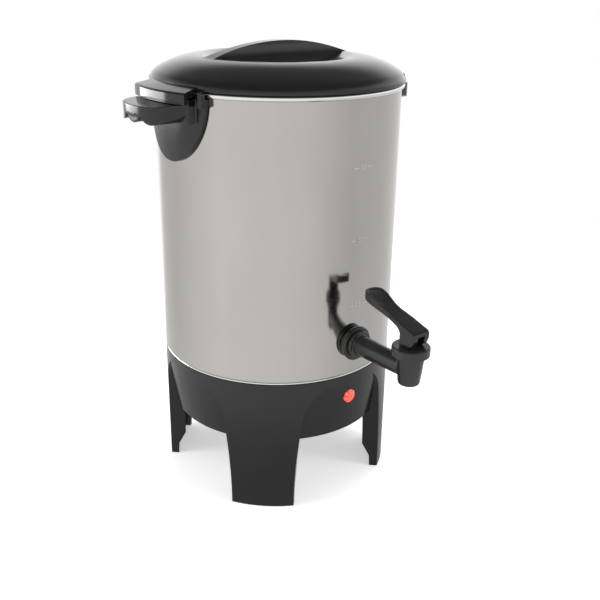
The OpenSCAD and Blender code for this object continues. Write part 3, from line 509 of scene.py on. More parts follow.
def grip_outline():
    tilt = math.degrees(math.atan2((GRIP_ROOT_W - GRIP_END_W) / 2, GRIP_REACH - TANK_R))
    middle = GRIP_REACH - GRIP_END_R
    corner_y = GRIP_END_W / 2 - GRIP_CORNER_R
    corner_x = middle + math.sqrt((GRIP_END_R - GRIP_CORNER_R) ** 2 - corner_y ** 2)
    meet = math.degrees(math.atan2(corner_y, corner_x - middle))
    start = PLATE_IN_R + 1.0
    return ([(start, -GRIP_ROOT_W / 2)]
            + arc(corner_x, -corner_y, GRIP_CORNER_R, tilt - 90, -meet, 8)
            + arc(middle, 0, GRIP_END_R, -meet, meet, 20)[1:-1]
            + arc(corner_x, corner_y, GRIP_CORNER_R, meet, 90 - tilt, 8)
            + [(start, GRIP_ROOT_W / 2)])

# %% Build both handles
def side_handle(name, turn):
    plate_r = PLATE_IN_R + PLATE_T
    sheet = [(PLATE_IN_R, 260), (plate_r, 260), (plate_r, PLATE_TOP), (PLATE_IN_R, PLATE_TOP)]
    oval = arc(0, 0, 1, 180, 360, 40)
    plate = cut(prism("plate", [(PLATE_HALF_W * u, PLATE_TOP + 0.1 + PLATE_H * v)
                                for u, v in oval], 60, 130, "X"),
                turned("sheet", sheet, 256), "INTERSECT")
    low = PLATE_TOP - BLOCK_H
    thick = [(PLATE_IN_R + 1, low), (TANK_R + BLOCK_OUT, low),
             (TANK_R + BLOCK_OUT, PLATE_TOP), (PLATE_IN_R + 1, PLATE_TOP)]
    block = cut(box("block", (60, -GRIP_ROOT_W / 2, low - 1), (130, GRIP_ROOT_W / 2, RIM_Z)),
                turned("thick", thick, 256), "INTERSECT")
    side = [(PLATE_IN_R + 1, GRIP_TOP - GRIP_T), (GRIP_REACH, GRIP_TOP - GRIP_T),
            (GRIP_REACH, GRIP_TOP), (TANK_R + 16.5, GRIP_ROOT_TOP),
            (PLATE_IN_R + 1, GRIP_ROOT_TOP)]
    grip = cut(prism("grip", side, -40, 40, "Y"),
               prism("outline", grip_outline(), 280, 330), "INTERSECT")
    parts = [plate, block, grip]
    for k in (-1, 0, 1):
        ring = arc(k * LOBE_PITCH, GRIP_TOP - 2, LOBE_R, 0, 354, 59)
        parts.append(cut(prism("lobe", [(u, min(v, GRIP_TOP - 2)) for u, v in ring],
                               PLATE_IN_R + 1, GRIP_REACH - 0.8, "X"),
                         prism("outline", grip_outline(), 280, 330), "INTERSECT"))
    for k in (-1, 1):
        for low_x, high_x, top in POSTS:
            post = box("post", (low_x, -POST_HALF_W, PLATE_TOP - 6),
                       (high_x, POST_HALF_W, top))
            parts.append(moved(post, turn=k * POST_TURN))
    handle = melted(joined(name, parts), 0.42, 5)
    return moved(handle, turn=turn)


for name, turn, node in (("right_handle_moulding", 0, "right_side_handle"),
                         ("left_handle_moulding", 180, "left_side_handle")):
    finished(side_handle(name, turn), GLOSS, "black_gloss", "urn", node)

# %% [markdown]
# ## Tap lever
# Seen from the side the lever sweeps up and back in one long curve; seen from
# above it has even cheeks, a waist and a round paddle with a shallow thumb
# dish.  So it is the part that two outlines share, less the dish and the slot
# for the stem.  Its cam keeps clear of the cap as it turns.

# %% Lever shape
VALVE_Y = -155.0
PIN_Z = 163.0
LEVER_LEN = 45.5
LEVER_HALF_W = 8.0
LEVER_SWING = 72
CAM_H = 5.7
CAM_LIFT = 2.1
CHEEK = 4.7
SLOT_HALF_W = 3.5
DISH_DEPTH = 0.9
DISH_EDGE = 1.7


def lever_back(drop):
    return bend([(LEVER_LEN, 23.8 - drop), (LEVER_LEN - 8, 25 - drop),
                 (0.7 * LEVER_LEN, 21 - drop), (0.5 * LEVER_LEN, 16.8)], 12)


def lever_side():
    cam = []
    for angle in range(LEVER_SWING + 4, -1, -4):
        turn = math.radians(angle)
        height = CAM_H + CAM_LIFT * turn
        cam.append((-height * math.sin(turn) - CAM_LIFT * math.cos(turn),
                    -height * math.cos(turn) + CAM_LIFT * math.sin(turn)))
    under = bend([(CHEEK, 3.5), (CHEEK + 0.5, 7), (9, 8.3), (13, 9.3)], 8)
    belly = bend([(13, 9.3), (0.5 * LEVER_LEN, 11.6), (0.75 * LEVER_LEN, 15.4),
                  (LEVER_LEN, 19.4)], 12)
    crown = bend([(0.5 * LEVER_LEN, 16.8), (12, 12.8), (2, 9.8), (-7, 7.2)], 8)
    heel = bend([(-7, 7.2), (-10.5, 6), (-9, 3), (cam[0][0] - 0.4, cam[0][1] + 1.4)], 8)
    return ([(CHEEK, -CAM_H)] + under + belly[1:] + lever_back(0) + crown[1:] + heel[1:]
            + cam)


def lever_plan(inset):
    half = LEVER_HALF_W - inset
    tip = LEVER_LEN - LEVER_HALF_W
    waist = half - 1.4
    edge = ([(-20, half)] + bend([(3, half), (12, half), (14, waist), (20, waist)], 8)
            + bend([(20, waist), (28, waist), (tip - 8, half), (tip, half)], 8)[1:]
            + arc(tip, 0, half, 84, 0, 12))
    far = edge + [(x, -y) for x, y in reversed(edge[:-1])]
    return [(-y, x) for x, y in far]


def tap_lever():
    lever = cut(prism("tap_lever_moulding", lever_side(), -8, 8, "X"),
                prism("plan", lever_plan(0), -20, 40), "INTERSECT")
    dish = cut(prism("dish", lever_back(DISH_DEPTH) + [(0.5 * LEVER_LEN, 40), (LEVER_LEN, 40)],
                     -8, 8, "X"),
               prism("plan", lever_plan(DISH_EDGE), -20, 40), "INTERSECT")
    cut(lever, dish)
    cut(lever, box("slot", (-SLOT_HALF_W, -40, -40), (SLOT_HALF_W, 19, 3.4)))
    melted(lever, 0.26, 5)
    return moved(lever, (0, VALVE_Y, PIN_Z))


finished(tap_lever(), TAP_BLACK, "tap_black", "lever", "tap_lever")

# %% [markdown]
# ## Tap collar
# A fat rounded ring sits between the tap and the tank wall.  It is turned from
# one section about the shank, and its back is cut to the curve of the wall.

# %% Turn the collar
COLLAR_R = 13.7
COLLAR_FRONT = 100.6
TAP_Z = 138.0
TAIL_R = 6.6


def along_tap(piece):
    moved(piece, turn=90.0, about="X")
    return moved(piece, (0, 0, TAP_Z))


def tap_collar():
    edge = 1.6
    section = ([(TAIL_R, 91.0), (COLLAR_R - 0.9, 91.0), (COLLAR_R - 0.9, 97.0)]
               + arc(COLLAR_R - edge, COLLAR_FRONT - edge, edge, 0, 90, 6)
               + [(COLLAR_R - 3.4, COLLAR_FRONT), (COLLAR_R - 3.9, COLLAR_FRONT - 0.5),
                  (TAIL_R, COLLAR_FRONT - 0.5)])
    collar = along_tap(turned("tap_collar_moulding", section, 96))
    wall_r = TANK_R + 0.45
    cut(collar, turned("wall", [(0, 100), (wall_r, 100), (wall_r, 180), (0, 180)], 256))
    return melted(collar, 0.3, 4)


finished(tap_collar(), TAP_BLACK, "tap_black", "urn", "tap_collar")

# %% [markdown]
# ## Tap body and cap
# The valve is a tapered cup on a round shank, moulded in one, so the two grow
# into each other with a fillet.  Two drills open it: one lets the coffee in
# along the shank, one holds the valve and runs out through the spout.  The cap
# is a plain turned ring that screws on top and holds the spring down.

# %% Body and cap
SPOUT_Z = 127.0
SEAT_Z = 134.0
CAP_Z = 150.0
CAP_TOP = 157.0
FLOW_R = 3.8
SPOUT_R = 5.4
BORE_R = 7.2
CUP_R = 11.9


def flow():
    section = [(0, 80), (FLOW_R, 80), (FLOW_R, 155), (0, 155)]
    return along_tap(turned("flow", section, 48))


def bore():
    section = [(0, 120), (SPOUT_R, 120), (SPOUT_R, SEAT_Z), (BORE_R, SEAT_Z),
               (BORE_R, 160), (0, 160)]
    return moved(turned("bore", section, 64), (0, VALVE_Y, 0))


def tap_body():
    cup = turned("cup", [(0, SPOUT_Z), (7.2, SPOUT_Z), (8, SPOUT_Z + 0.8),
                         (10.5, CAP_Z - 1), (10.5, CAP_Z - 0.2), (CUP_R, CAP_Z - 0.1),
                         (CUP_R, CAP_TOP - 3.1), (0, CAP_TOP - 3.1)], 96)
    shank = turned("shank", [(0, 82), (6.5, 82), (6.5, COLLAR_FRONT), (11, COLLAR_FRONT),
                             (11, COLLAR_FRONT + 2.6), (10.6, COLLAR_FRONT + 3),
                             (8, COLLAR_FRONT + 3), (7.3, 151), (0, 151)], 96)
    moved(cup, (0, VALVE_Y, 0))
    along_tap(shank)
    for part in (cup, shank):
        cut(part, flow())
        cut(part, bore())
    return melted(joined("tap_body_moulding", [cup, shank]), 0.4, 5)


def tap_cap():
    outer = [(12.1, CAP_TOP - 3), (12.1, CAP_Z)] + arc(13.4, CAP_Z + 0.6, 0.6, -90, 0, 4)
    outer += arc(12.6, CAP_TOP - 1.4, 1.4, 0, 90, 8)
    cap = turned("tap_cap_moulding", outer + [(2.06, CAP_TOP), (2.06, CAP_TOP - 3)], 128)
    shade = cap.modifiers.new("shade", "WEIGHTED_NORMAL")
    shade.keep_sharp = True
    return moved(baked(smoothed(cap)), (0, VALVE_Y, 0))


finished(tap_body(), TAP_BLACK_PAINTED_HAZE, "tap_black", "urn", "tap_body")
finished(tap_cap(), TAP_BLACK_PAINTED_HAZE, "tap_black", "urn", "tap_cap")

# %% [markdown]
# ## Edges that catch the light
# A solid from a modelling kernel has knife-sharp edges, but a moulding never
# does: its edges have a small radius, and that radius draws a thin bright line.
# Each of these mouldings is copied, its loose triangles are welded, flat faces
# are joined, and a bevel rounds every edge that is sharper than thirty degrees.

# %% Rounded mouldings
def rounded(node, width, finish, slot, body, segments=2, angle=30.0):
    mesh = nodes[node].data.copy()
    mesh.name = node + "_moulding"
    shape = bmesh.new()
    shape.from_mesh(mesh)
    bmesh.ops.remove_doubles(shape, verts=shape.verts, dist=2e-6)
    bmesh.ops.dissolve_limit(shape, angle_limit=math.radians(0.6),
                             verts=shape.verts, edges=shape.edges)
    for face in shape.faces:
        face.smooth = True
    shape.to_mesh(mesh)
    shape.free()
    if "custom_normal" in mesh.attributes:
        mesh.attributes.remove(mesh.attributes["custom_normal"])
    piece = placed(mesh.name, mesh)
    edge = piece.modifiers.new("edge", "BEVEL")
    edge.width = width * MM
    edge.segments = segments
    edge.limit_method = "ANGLE"
    edge.angle_limit = math.radians(angle)
    edge.harden_normals = True
    edge.miter_outer = "MITER_ARC"
    keep = piece.modifiers.new("shade", "WEIGHTED_NORMAL")
    keep.keep_sharp = True
    return finished(baked(piece), finish, slot, body, node)

# %% Round lid, base and inlet
rounded("lid", 0.7, GLOSS, "black_gloss", "lid", 3)
rounded("base_shell", 0.5, BASE_BLACK, "black_gloss", "urn")
rounded("power_inlet", 0.5, MATT, "black_matt", "urn")

# %% [markdown]
# ## Trees that grow a mesh
# Shapes that repeat or follow a rule are grown by node trees.  Each tree has
# named inputs, ends in real geometry with its finish on it, and is turned into
# a plain mesh as soon as it has grown.

# %% First and last nodes of every tree
def start_tree(name, sizes, words=()):
    tree = bpy.data.node_groups.new(name, "GeometryNodeTree")
    sockets = ([(label, "NodeSocketString") for label in words]
               + [(label, "NodeSocketFloat") for label in sizes]
               + [("Finish", "NodeSocketMaterial")])
    for label, kind in sockets:
        tree.interface.new_socket(name=label, in_out="INPUT", socket_type=kind)
    tree.interface.new_socket(name="Geometry", in_out="OUTPUT",
                              socket_type="NodeSocketGeometry")
    return tree, tree.nodes.new("NodeGroupInput")


def end_tree(tree, start, geometry, smooth=True):
    last = tree.nodes.new("GeometryNodeRealizeInstances")
    tree.links.new(geometry, last.inputs["Geometry"])
    if smooth:
        shade = tree.nodes.new("GeometryNodeSetShadeSmooth")
        tree.links.new(last.outputs["Geometry"], shade.inputs["Geometry"])
        last = shade
    paint = tree.nodes.new("GeometryNodeSetMaterial")
    end = tree.nodes.new("NodeGroupOutput")
    tree.links.new(last.outputs["Geometry"], paint.inputs["Geometry"])
    tree.links.new(start.outputs["Finish"], paint.inputs["Material"])
    tree.links.new(paint.outputs["Geometry"], end.inputs["Geometry"])
    return tree


def shifted(tree, geometry, axis, amount):
    place = tree.nodes.new("ShaderNodeCombineXYZ")
    tree.links.new(amount, place.inputs[axis])
    shift = tree.nodes.new("GeometryNodeTransform")
    tree.links.new(geometry, shift.inputs["Geometry"])
    tree.links.new(place.outputs["Vector"], shift.inputs["Translation"])
    return shift

# %% Grow a mesh from a tree
def grown(name, tree, inputs):
    host = placed(name, bpy.data.meshes.new(name))
    growth = host.modifiers.new("growth", "NODES")
    growth.node_group = tree
    for item in tree.interface.items_tree:
        if item.in_out == "INPUT":
            growth[item.identifier] = inputs[item.name]
    return baked(host)

# %% [markdown]
# ## Level marks
# Three levels are pressed into the wall above the tap: a short bar, the number
# of cups, another short bar.  They repeat, so one node tree draws any of them:
# the text becomes curves, the curves are filled and given a height, and the
# flat letters are bent round the tank with a little trigonometry.

# %% A tree that bends text round a cylinder
def level_tree():
    tree, start = start_tree("level_mark", ("Radius", "Level", "Turn", "Digit height",
                                            "Bar length", "Bar width", "Gap", "Relief"),
                             ("Text",))
    link = tree.links.new
    asked = start.outputs

    digits = tree.nodes.new("GeometryNodeStringToCurves")
    digits.align_x = "CENTER"
    digits.align_y = "MIDDLE"
    link(asked["Text"], digits.inputs["String"])
    link(asked["Digit height"], digits.inputs["Size"])
    real = tree.nodes.new("GeometryNodeRealizeInstances")
    link(digits.outputs["Curve Instances"], real.inputs["Geometry"])
    fill = tree.nodes.new("GeometryNodeFillCurve")
    link(real.outputs["Geometry"], fill.inputs["Curve"])

    flat = [fill.outputs["Mesh"]]
    for way in (-1.0, 1.0):
        bar = tree.nodes.new("GeometryNodeMeshGrid")
        bar.inputs["Vertices X"].default_value = 6
        bar.inputs["Vertices Y"].default_value = 2
        link(asked["Bar length"], bar.inputs["Size X"])
        link(asked["Bar width"], bar.inputs["Size Y"])
        gap = maths(tree, "MULTIPLY", asked["Gap"], way)
        flat.append(shifted(tree, bar.outputs["Mesh"], "X", gap).outputs["Geometry"])

    join = tree.nodes.new("GeometryNodeJoinGeometry")
    for part in flat:
        link(part, join.inputs["Geometry"])
    thick = tree.nodes.new("GeometryNodeExtrudeMesh")
    thick.inputs["Individual"].default_value = False
    link(join.outputs["Geometry"], thick.inputs["Mesh"])
    link(asked["Relief"], thick.inputs["Offset Scale"])

    here = tree.nodes.new("GeometryNodeInputPosition")
    split = tree.nodes.new("ShaderNodeSeparateXYZ")
    link(here.outputs["Position"], split.inputs["Vector"])
    turn = maths(tree, "ADD", maths(tree, "DIVIDE", split.outputs["X"], asked["Radius"]),
                 asked["Turn"])
    out = maths(tree, "ADD", split.outputs["Z"], asked["Radius"])
    back = maths(tree, "MULTIPLY", out, maths(tree, "COSINE", turn))
    bent = tree.nodes.new("ShaderNodeCombineXYZ")
    link(maths(tree, "MULTIPLY", out, maths(tree, "SINE", turn)), bent.inputs["X"])
    link(maths(tree, "MULTIPLY", back, -1.0), bent.inputs["Y"])
    link(maths(tree, "ADD", split.outputs["Y"], asked["Level"]), bent.inputs["Z"])
    wrap = tree.nodes.new("GeometryNodeSetPosition")
    link(thick.outputs["Mesh"], wrap.inputs["Geometry"])
    link(bent.outputs["Vector"], wrap.inputs["Position"])
    return end_tree(tree, start, wrap.outputs["Geometry"], smooth=False)

# %% Press the three levels into the wall
# A rougher, frosted copy of the tank steel: its lighter colour is a painted highlight, and the
# higher roughness is the real frosted finish.
LIT_MARK_STEEL = metal("pressed_mark_steel", (0.60, 0.59, 0.57), (0.72, 0.71, 0.69),
                (0.22, 0.34), 900.0, (1.0, 1.0, 1.0), 0.2)
LEVEL = level_tree()
for cups, level in (("30", 0.2736), ("20", 0.2198), ("12", 0.1680)):
    mark = grown("level_" + cups, LEVEL, {
        "Text": cups, "Radius": TANK_R * MM + 0.00002, "Level": level,
        "Turn": math.radians(2.0), "Digit height": 0.0062,
        "Bar length": 0.0042, "Bar width": 0.0006, "Gap": 0.0068,
        "Relief": 0.00022, "Finish": LIT_MARK_STEEL})
    finished(mark, LIT_MARK_STEEL, "tank_steel", "urn")

# %% [markdown]
# ## Rolled rim and foot seam
# The tank's rim is rolled over a wire and its foot is folded into a seam.  Both
# are hoops: one small section swept round a circle.  One node tree makes any
# hoop from its radius, its height and the size of its section, and the same
# tree rolls the basket's rim.

# %% A tree that sweeps a hoop
def hoop_tree():
    tree, start = start_tree("hoop", ("Radius", "Height", "Section width",
                                      "Section height"))
    link = tree.links.new
    path = tree.nodes.new("GeometryNodeCurvePrimitiveCircle")
    path.inputs["Resolution"].default_value = 256
    link(start.outputs["Radius"], path.inputs["Radius"])
    section = tree.nodes.new("GeometryNodeCurvePrimitiveCircle")
    section.inputs["Resolution"].default_value = 20
    section.inputs["Radius"].default_value = 0.5
    size = tree.nodes.new("ShaderNodeCombineXYZ")
    link(start.outputs["Section width"], size.inputs["X"])
    link(start.outputs["Section height"], size.inputs["Y"])
    shape = tree.nodes.new("GeometryNodeTransform")
    link(section.outputs["Curve"], shape.inputs["Geometry"])
    link(size.outputs["Vector"], shape.inputs["Scale"])
    swept = tree.nodes.new("GeometryNodeCurveToMesh")
    link(path.outputs["Curve"], swept.inputs["Curve"])
    link(shape.outputs["Geometry"], swept.inputs["Profile Curve"])
    lift = shifted(tree, swept.outputs["Mesh"], "Z", start.outputs["Height"])
    return end_tree(tree, start, lift.outputs["Geometry"])

# %% Roll the rims and fold the seam
HOOP = hoop_tree()
BASKET_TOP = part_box("coffee_basket")[1][2]
BASKET_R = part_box("coffee_basket")[1][0]
for name, radius, height, wide, high, body, slot, finish in (
        ("rolled_rim", 0.0953, 0.3240, 0.0041, 0.0041, "urn", "tank_steel", LIT_BEAD_STEEL),
        ("foot_seam", 0.0937, 0.1111, 0.0028, 0.0022, "urn", "tank_steel", LIT_BEAD_STEEL),
        ("basket_rim", BASKET_R - 0.0006, BASKET_TOP - 0.0008, 0.0018, 0.0018,
         "basket", "aluminium_sheet", SPUN)):
    hoop = grown(name, HOOP, {"Radius": radius, "Height": height, "Section width": wide,
                              "Section height": high, "Finish": finish})
    finished(hoop, finish, slot, body)

# %% [markdown]
# ## Spring and threads
# A spring and a screw thread follow the same rule, a line that climbs as it
# goes round.  One tree draws that line and sweeps a round wire along it.  The
# tap tail and the centre stud get a fine thread, and the valve gets its spring.

# %% A tree that winds a coil
def coil_tree():
    tree, start = start_tree("coil", ("Radius", "Low", "Rise", "Turns", "Wire"))
    link = tree.links.new
    line = tree.nodes.new("GeometryNodeCurveSpiral")
    line.inputs["Resolution"].default_value = 24
    link(start.outputs["Turns"], line.inputs["Rotations"])
    link(start.outputs["Radius"], line.inputs["Start Radius"])
    link(start.outputs["Radius"], line.inputs["End Radius"])
    link(start.outputs["Rise"], line.inputs["Height"])
    wire = tree.nodes.new("GeometryNodeCurvePrimitiveCircle")
    wire.inputs["Resolution"].default_value = 8
    link(start.outputs["Wire"], wire.inputs["Radius"])
    wind = tree.nodes.new("GeometryNodeCurveToMesh")
    wind.inputs["Fill Caps"].default_value = True
    link(line.outputs["Curve"], wind.inputs["Curve"])
    link(wire.outputs["Curve"], wind.inputs["Profile Curve"])
    lift = shifted(tree, wind.outputs["Mesh"], "Z", start.outputs["Low"])
    return end_tree(tree, start, lift.outputs["Geometry"])


COIL = coil_tree()


def coil(name, radius, low, rise, turns, wire, finish):
    return grown(name, COIL, {"Radius": radius * MM, "Low": low * MM, "Rise": rise * MM,
                              "Turns": turns, "Wire": wire * MM, "Finish": finish})

# %% Wind the spring and both threads
spring_low, spring_high = (corner[2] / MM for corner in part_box("valve_spring"))
spring_rise = spring_high - spring_low - 0.8
spring = coil("valve_spring_coil", 3.4, spring_low + 0.4, spring_rise, 5.0, 0.4, BRIGHT)
finished(moved(spring, (0, VALVE_Y, 0)), BRIGHT, "bright_steel", "urn", "valve_spring")
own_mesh(spring)

stud_low, stud_high = (corner[2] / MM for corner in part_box("centre_stud"))
finished(coil("stud_thread", 2.95, stud_low + 0.5, stud_high - stud_low - 2.0,
              float(round(stud_high - stud_low - 2)), 0.22, BRIGHT),
         BRIGHT, "bright_steel", "urn")
tail = coil("tail_thread", 6.45, 82.4, 9.6, 6.0, 0.35, TAP_BLACK_PAINTED_HAZE)
finished(along_tap(tail), TAP_BLACK_PAINTED_HAZE, "tap_black", "urn")

# %% [markdown]
# ## Screw heads
# Four screws hold the bottom cover and two hold each handle from inside the
# tank.  A pan head is a flattened dome with a cross recess.  One head is turned
# and cut, then a node tree sets copies of it on points round a circle.

# %% One pan head and a tree that repeats it
def pan_head(radius, rise):
    head_shape = turned("pan_head", [(0, 0), (radius, 0), (radius, 0.3 * rise)]
                        + bend([(radius, 0.3 * rise), (radius, 0.8 * rise),
                                (0.6 * radius, rise), (0, rise)], 8)[1:], 48)
    arm = 0.62 * radius
    for long_x, long_y in ((arm, 0.16 * radius), (0.16 * radius, arm)):
        cut(head_shape, box("recess", (-long_x, -long_y, 0.35 * rise),
                            (long_x, long_y, 2 * rise)))
    return head_shape


def ring_tree(head_shape):
    tree, start = start_tree("heads_on_a_ring", ("Count", "Radius", "Height", "Turn"))
    link = tree.links.new
    spots = tree.nodes.new("GeometryNodeMeshCircle")
    link(start.outputs["Count"], spots.inputs["Vertices"])
    link(start.outputs["Radius"], spots.inputs["Radius"])
    give = tree.nodes.new("GeometryNodeObjectInfo")
    give.inputs["Object"].default_value = head_shape
    flip = tree.nodes.new("FunctionNodeInputVector")
    flip.vector = (math.pi, 0.0, 0.4)
    copies = tree.nodes.new("GeometryNodeInstanceOnPoints")
    link(spots.outputs["Mesh"], copies.inputs["Points"])
    link(give.outputs["Geometry"], copies.inputs["Instance"])
    link(flip.outputs["Vector"], copies.inputs["Rotation"])
    turned_by = tree.nodes.new("ShaderNodeCombineXYZ")
    link(start.outputs["Turn"], turned_by.inputs["Z"])
    lift = shifted(tree, copies.outputs["Instances"], "Z", start.outputs["Height"])
    link(turned_by.outputs["Vector"], lift.inputs["Rotation"])
    return end_tree(tree, start, lift.outputs["Geometry"])

# %% Heads of the four cover screws
cover_low, cover_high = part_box("cover_screws")
head_shape = pan_head(3.5, 2.15)
heads = grown("cover_screw_heads", ring_tree(head_shape), {
    "Count": 4.0, "Radius": (cover_high[0] - 0.0035) * math.sqrt(2.0),
    "Height": cover_low[2] + 0.0022, "Turn": math.radians(45.0), "Finish": BRIGHT})
bpy.data.objects.remove(head_shape)
finished(heads, BRIGHT, "bright_steel", "urn")

# %% [markdown]
# ## The floor
# The urn stands on a seamless white sweep.  Close to the urn the floor is plain
# diffuse white, so it keeps the soft shadow.  Further out it turns, for the
# camera and for polished surfaces alone, into a white that needs no lamp, and
# no horizon shows.  A steel drum mirrors the floor all round it, so the floor
# that it sees is a little darker where the room's walls are darker, and close
# to the urn it carries a painted shadow.

# %% Floor finish
FLOOR_WHITE = 0.86
FADE_START = 0.30
FADE_END = 0.95
NEAR_SHADOW_LEVEL = 0.55
NEAR_START = 0.13
NEAR_END = 0.30
CAMERA_LIFT = 0.50
FLOOR_REACH = 6.0
# A colour ramp holds at most one, so brighter levels are divided by this and
# multiplied by it again as a strength
HEADROOM = 4.0
# Brightness of the mirrored floor for each direction round the urn, in degrees
MIRRORED_FLOOR = ((-180, 1.12), (-140, 1.06), (-95, 0.98), (-60, 0.76),
                  (-20, 0.80), (20, 0.90), (60, 1.05), (82, 1.35), (96, 0.84),
                  (126, 0.84), (150, 1.00), (180, 1.12))


def grey_ramp(tree, factor, stops):
    ramp = add(tree, "ShaderNodeValToRGB")
    elements = ramp.color_ramp.elements
    for place, level in stops[1:-1]:
        elements.new(place)
    for element, (place, level) in zip(elements, stops):
        element.position = place
        element.color = (level / HEADROOM, level / HEADROOM, level / HEADROOM, 1.0)
    tree.links.new(factor, ramp.inputs["Fac"])
    return ramp.outputs["Color"]


def round_the_urn(tree, vector, stops):
    way = add(tree, "ShaderNodeTexGradient", gradient_type="RADIAL")
    tree.links.new(vector, way.inputs["Vector"])
    places = [((angle + 180.0) / 360.0, level) for angle, level in stops]
    return grey_ramp(tree, way.outputs["Fac"], places)


def sweep_finish():
    made, tree, shader = new_material("white_sweep")
    speck = noise(tree, 3.0)
    tree.links.new(tint(tree, speck, (FLOOR_WHITE,) * 3, (FLOOR_WHITE + 0.02,) * 3),
                   shader.inputs["Base Color"])
    shader.inputs["Roughness"].default_value = 0.9
    shader.inputs["Specular IOR Level"].default_value = 0.0
    path = add(tree, "ShaderNodeLightPath")
    place = add(tree, "ShaderNodeTexCoord")
    shader.inputs["Emission Color"].default_value = (1.0, 1.0, 1.0, 1.0)
    tree.links.new(maths(tree, "MULTIPLY", path.outputs["Is Camera Ray"], CAMERA_LIFT),
                   shader.inputs["Emission Strength"])

    away = add(tree, "ShaderNodeVectorMath", operation="LENGTH")
    tree.links.new(place.outputs["Object"], away.inputs[0])
    fade = eased(tree, away.outputs["Value"], FADE_START, FADE_END)
    white = add(tree, "ShaderNodeEmission")
    white.inputs["Strength"].default_value = 1.0
    far = mixed(tree, maths(tree, "MULTIPLY", fade, path.outputs["Is Camera Ray"]),
                shader, white)

    # Painted shadow: the floor that polished surfaces see is darker close to the urn
    mirrored_floor_shadow = eased(tree, away.outputs["Value"], NEAR_START, NEAR_END, NEAR_SHADOW_LEVEL)
    mirrored = add(tree, "ShaderNodeEmission")
    tree.links.new(round_the_urn(tree, place.outputs["Object"], MIRRORED_FLOOR),
                   mirrored.inputs["Color"])
    tree.links.new(maths(tree, "MULTIPLY", mirrored_floor_shadow, HEADROOM), mirrored.inputs["Strength"])
    last = mixed(tree, by_mirror(tree, path), far, mirrored)
    tree.links.new(last.outputs[0], tree.nodes["Material Output"].inputs["Surface"])
    return made

# %% Lay the floor
corners = [(FLOOR_REACH * x, FLOOR_REACH * y, 0.0)
           for x, y in ((-1, -1), (1, -1), (1, 1), (-1, 1))]
floor_mesh = bpy.data.meshes.new("white_sweep")
floor_mesh.from_pydata(corners, [], [(0, 1, 2, 3)])
floor_mesh.materials.append(sweep_finish())
placed("white_sweep", floor_mesh)
print("floor laid, white from", FADE_END, "m out")

# %% [markdown]
# ## The room
# Polished black plastic shows the room as a mirror does.  Near the horizon the
# room is a white tent, and above thirty degrees it is dark, which is why the
# lid's front reads black while its edges turn white.  The tent is brighter on
# the left, where its lamp stands.  The camera sees plain white, and diffuse
# surfaces get one even level from all sides.

# %% World
# Brightness of the mirrored room by the sine of the height above the horizon
MIRRORED_ROOM = ((-1.0, 1.0), (0.0, 1.30), (0.22, 1.25), (0.40, 0.95),
                 (0.50, 0.50), (0.60, 0.22), (1.0, 0.17))
TENT_LAMP_TURN = math.radians(122.0)
TENT_LAMP_WAY = (math.cos(TENT_LAMP_TURN) * 0.985, math.sin(TENT_LAMP_TURN) * 0.985, 0.10)
TENT_LAMP_EDGE = (0.955, 0.985)
TENT_LAMP_LEVEL = 1.5
ROOM_LEVEL = 0.62


def backdrop(tree, strength):
    paint = add(tree, "ShaderNodeBackground")
    paint.inputs["Color"].default_value = (1.0, 1.0, 1.0, 1.0)
    paint.inputs["Strength"].default_value = strength
    return paint


def room():
    world = bpy.data.worlds.new("studio")
    scene.world = world
    world.use_nodes = True
    tree = world.node_tree
    tree.nodes.clear()
    path = add(tree, "ShaderNodeLightPath")
    place = add(tree, "ShaderNodeTexCoord")
    split = add(tree, "ShaderNodeSeparateXYZ")
    tree.links.new(place.outputs["Generated"], split.inputs[0])
    height = add(tree, "ShaderNodeMapRange")
    height.inputs["From Min"].default_value = -1.0
    tree.links.new(split.outputs["Z"], height.inputs["Value"])
    stops = [((sine + 1.0) / 2.0, level) for sine, level in MIRRORED_ROOM]
    tent = backdrop(tree, HEADROOM)
    tree.links.new(grey_ramp(tree, height.outputs["Result"], stops), tent.inputs["Color"])

    facing = add(tree, "ShaderNodeVectorMath", operation="DOT_PRODUCT")
    tree.links.new(place.outputs["Generated"], facing.inputs[0])
    facing.inputs[1].default_value = TENT_LAMP_WAY
    tent_lamp = backdrop(tree, 0.0)
    tree.links.new(eased(tree, facing.outputs["Value"], *TENT_LAMP_EDGE, 0.0,
                         TENT_LAMP_LEVEL), tent_lamp.inputs["Strength"])
    mirrored = add(tree, "ShaderNodeAddShader")
    tree.links.new(tent.outputs[0], mirrored.inputs[0])
    tree.links.new(tent_lamp.outputs[0], mirrored.inputs[1])

    first = mixed(tree, by_mirror(tree, path), backdrop(tree, ROOM_LEVEL), mirrored)
    last = mixed(tree, path.outputs["Is Camera Ray"], first, backdrop(tree, 1.0))
    out = add(tree, "ShaderNodeOutputWorld")
    tree.links.new(last.outputs[0], out.inputs["Surface"])


room()
print("room level", ROOM_LEVEL)

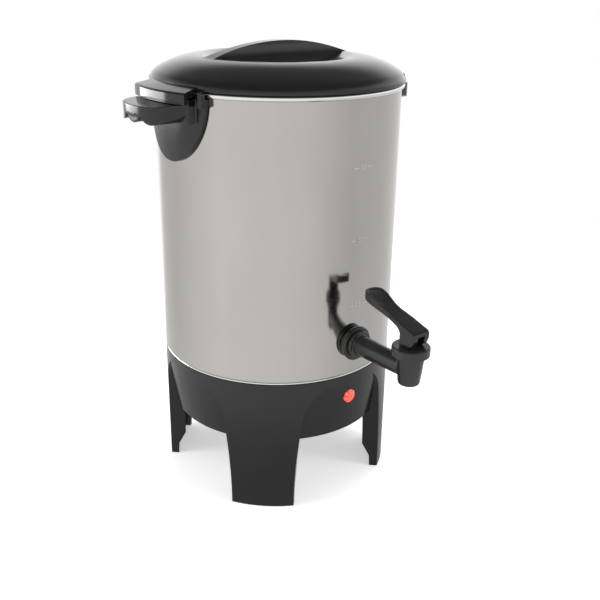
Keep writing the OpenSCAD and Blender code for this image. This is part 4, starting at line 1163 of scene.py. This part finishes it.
# %% [markdown]
# ## Lamps
# Three big soft lamps give the plastic its modelling and put a soft shadow
# under the urn.  They are left out of mirror reflections, where the tent
# already stands for them.  A tall window and its dim sill do the opposite:
# only polished surfaces see them, as the bright band on the handle's edges.

# %% Window and sill
def window_panel(name, turn, reach, width, low, high, strength):
    made = bpy.data.materials.new(name)
    made.use_nodes = True
    tree = made.node_tree
    tree.nodes.clear()
    path = add(tree, "ShaderNodeLightPath")
    clear = add(tree, "ShaderNodeBsdfTransparent")
    bright = add(tree, "ShaderNodeEmission")
    bright.inputs["Strength"].default_value = strength
    seen = mixed(tree, path.outputs["Is Glossy Ray"], clear, bright)
    out = add(tree, "ShaderNodeOutputMaterial")
    tree.links.new(seen.outputs[0], out.inputs["Surface"])
    panel = prism(name, [(-width / 2, low), (width / 2, low), (width / 2, high),
                         (-width / 2, high)], 0, 10, "X")
    moved(panel, (reach, 0, 0))
    moved(panel, turn=turn)
    panel.data.materials.append(made)


window_panel("left_window", 121.0, 1350, 900, 100, 430, 8.0)
window_panel("window_sill", 151.0, 1350, 400, 0, 70, 1.0)

# %% Soft lamps
LAMP_AIM = Vector((0.0, 0.0, 0.2))


def around_camera(turn, reach, height):
    angle = VIEW_TURN + math.radians(turn)
    return (reach * math.sin(angle), -reach * math.cos(angle), height)


def softbox(name, place, width, height, watts):
    data = bpy.data.lights.new(name, "AREA")
    data.shape = "RECTANGLE"
    data.size = width
    data.size_y = height
    data.energy = watts
    lamp = bpy.data.objects.new(name, data)
    way = LAMP_AIM - Vector(place)
    lamp.matrix_world = (Matrix.Translation(place)
                         @ way.to_track_quat("-Z", "Y").to_matrix().to_4x4())
    lamp.visible_glossy = False
    scene.collection.objects.link(lamp)


softbox("left_softbox", around_camera(-75.0, 1.6, 1.5), 0.9, 1.2, 12.0)
softbox("right_softbox", around_camera(70.0, 1.7, 1.3), 0.6, 0.9, 8.0)
softbox("top_softbox", around_camera(160.0, 0.8, 2.0), 1.4, 1.0, 15.0)
scene.view_settings.view_transform = "Standard"
print("lamps ready")
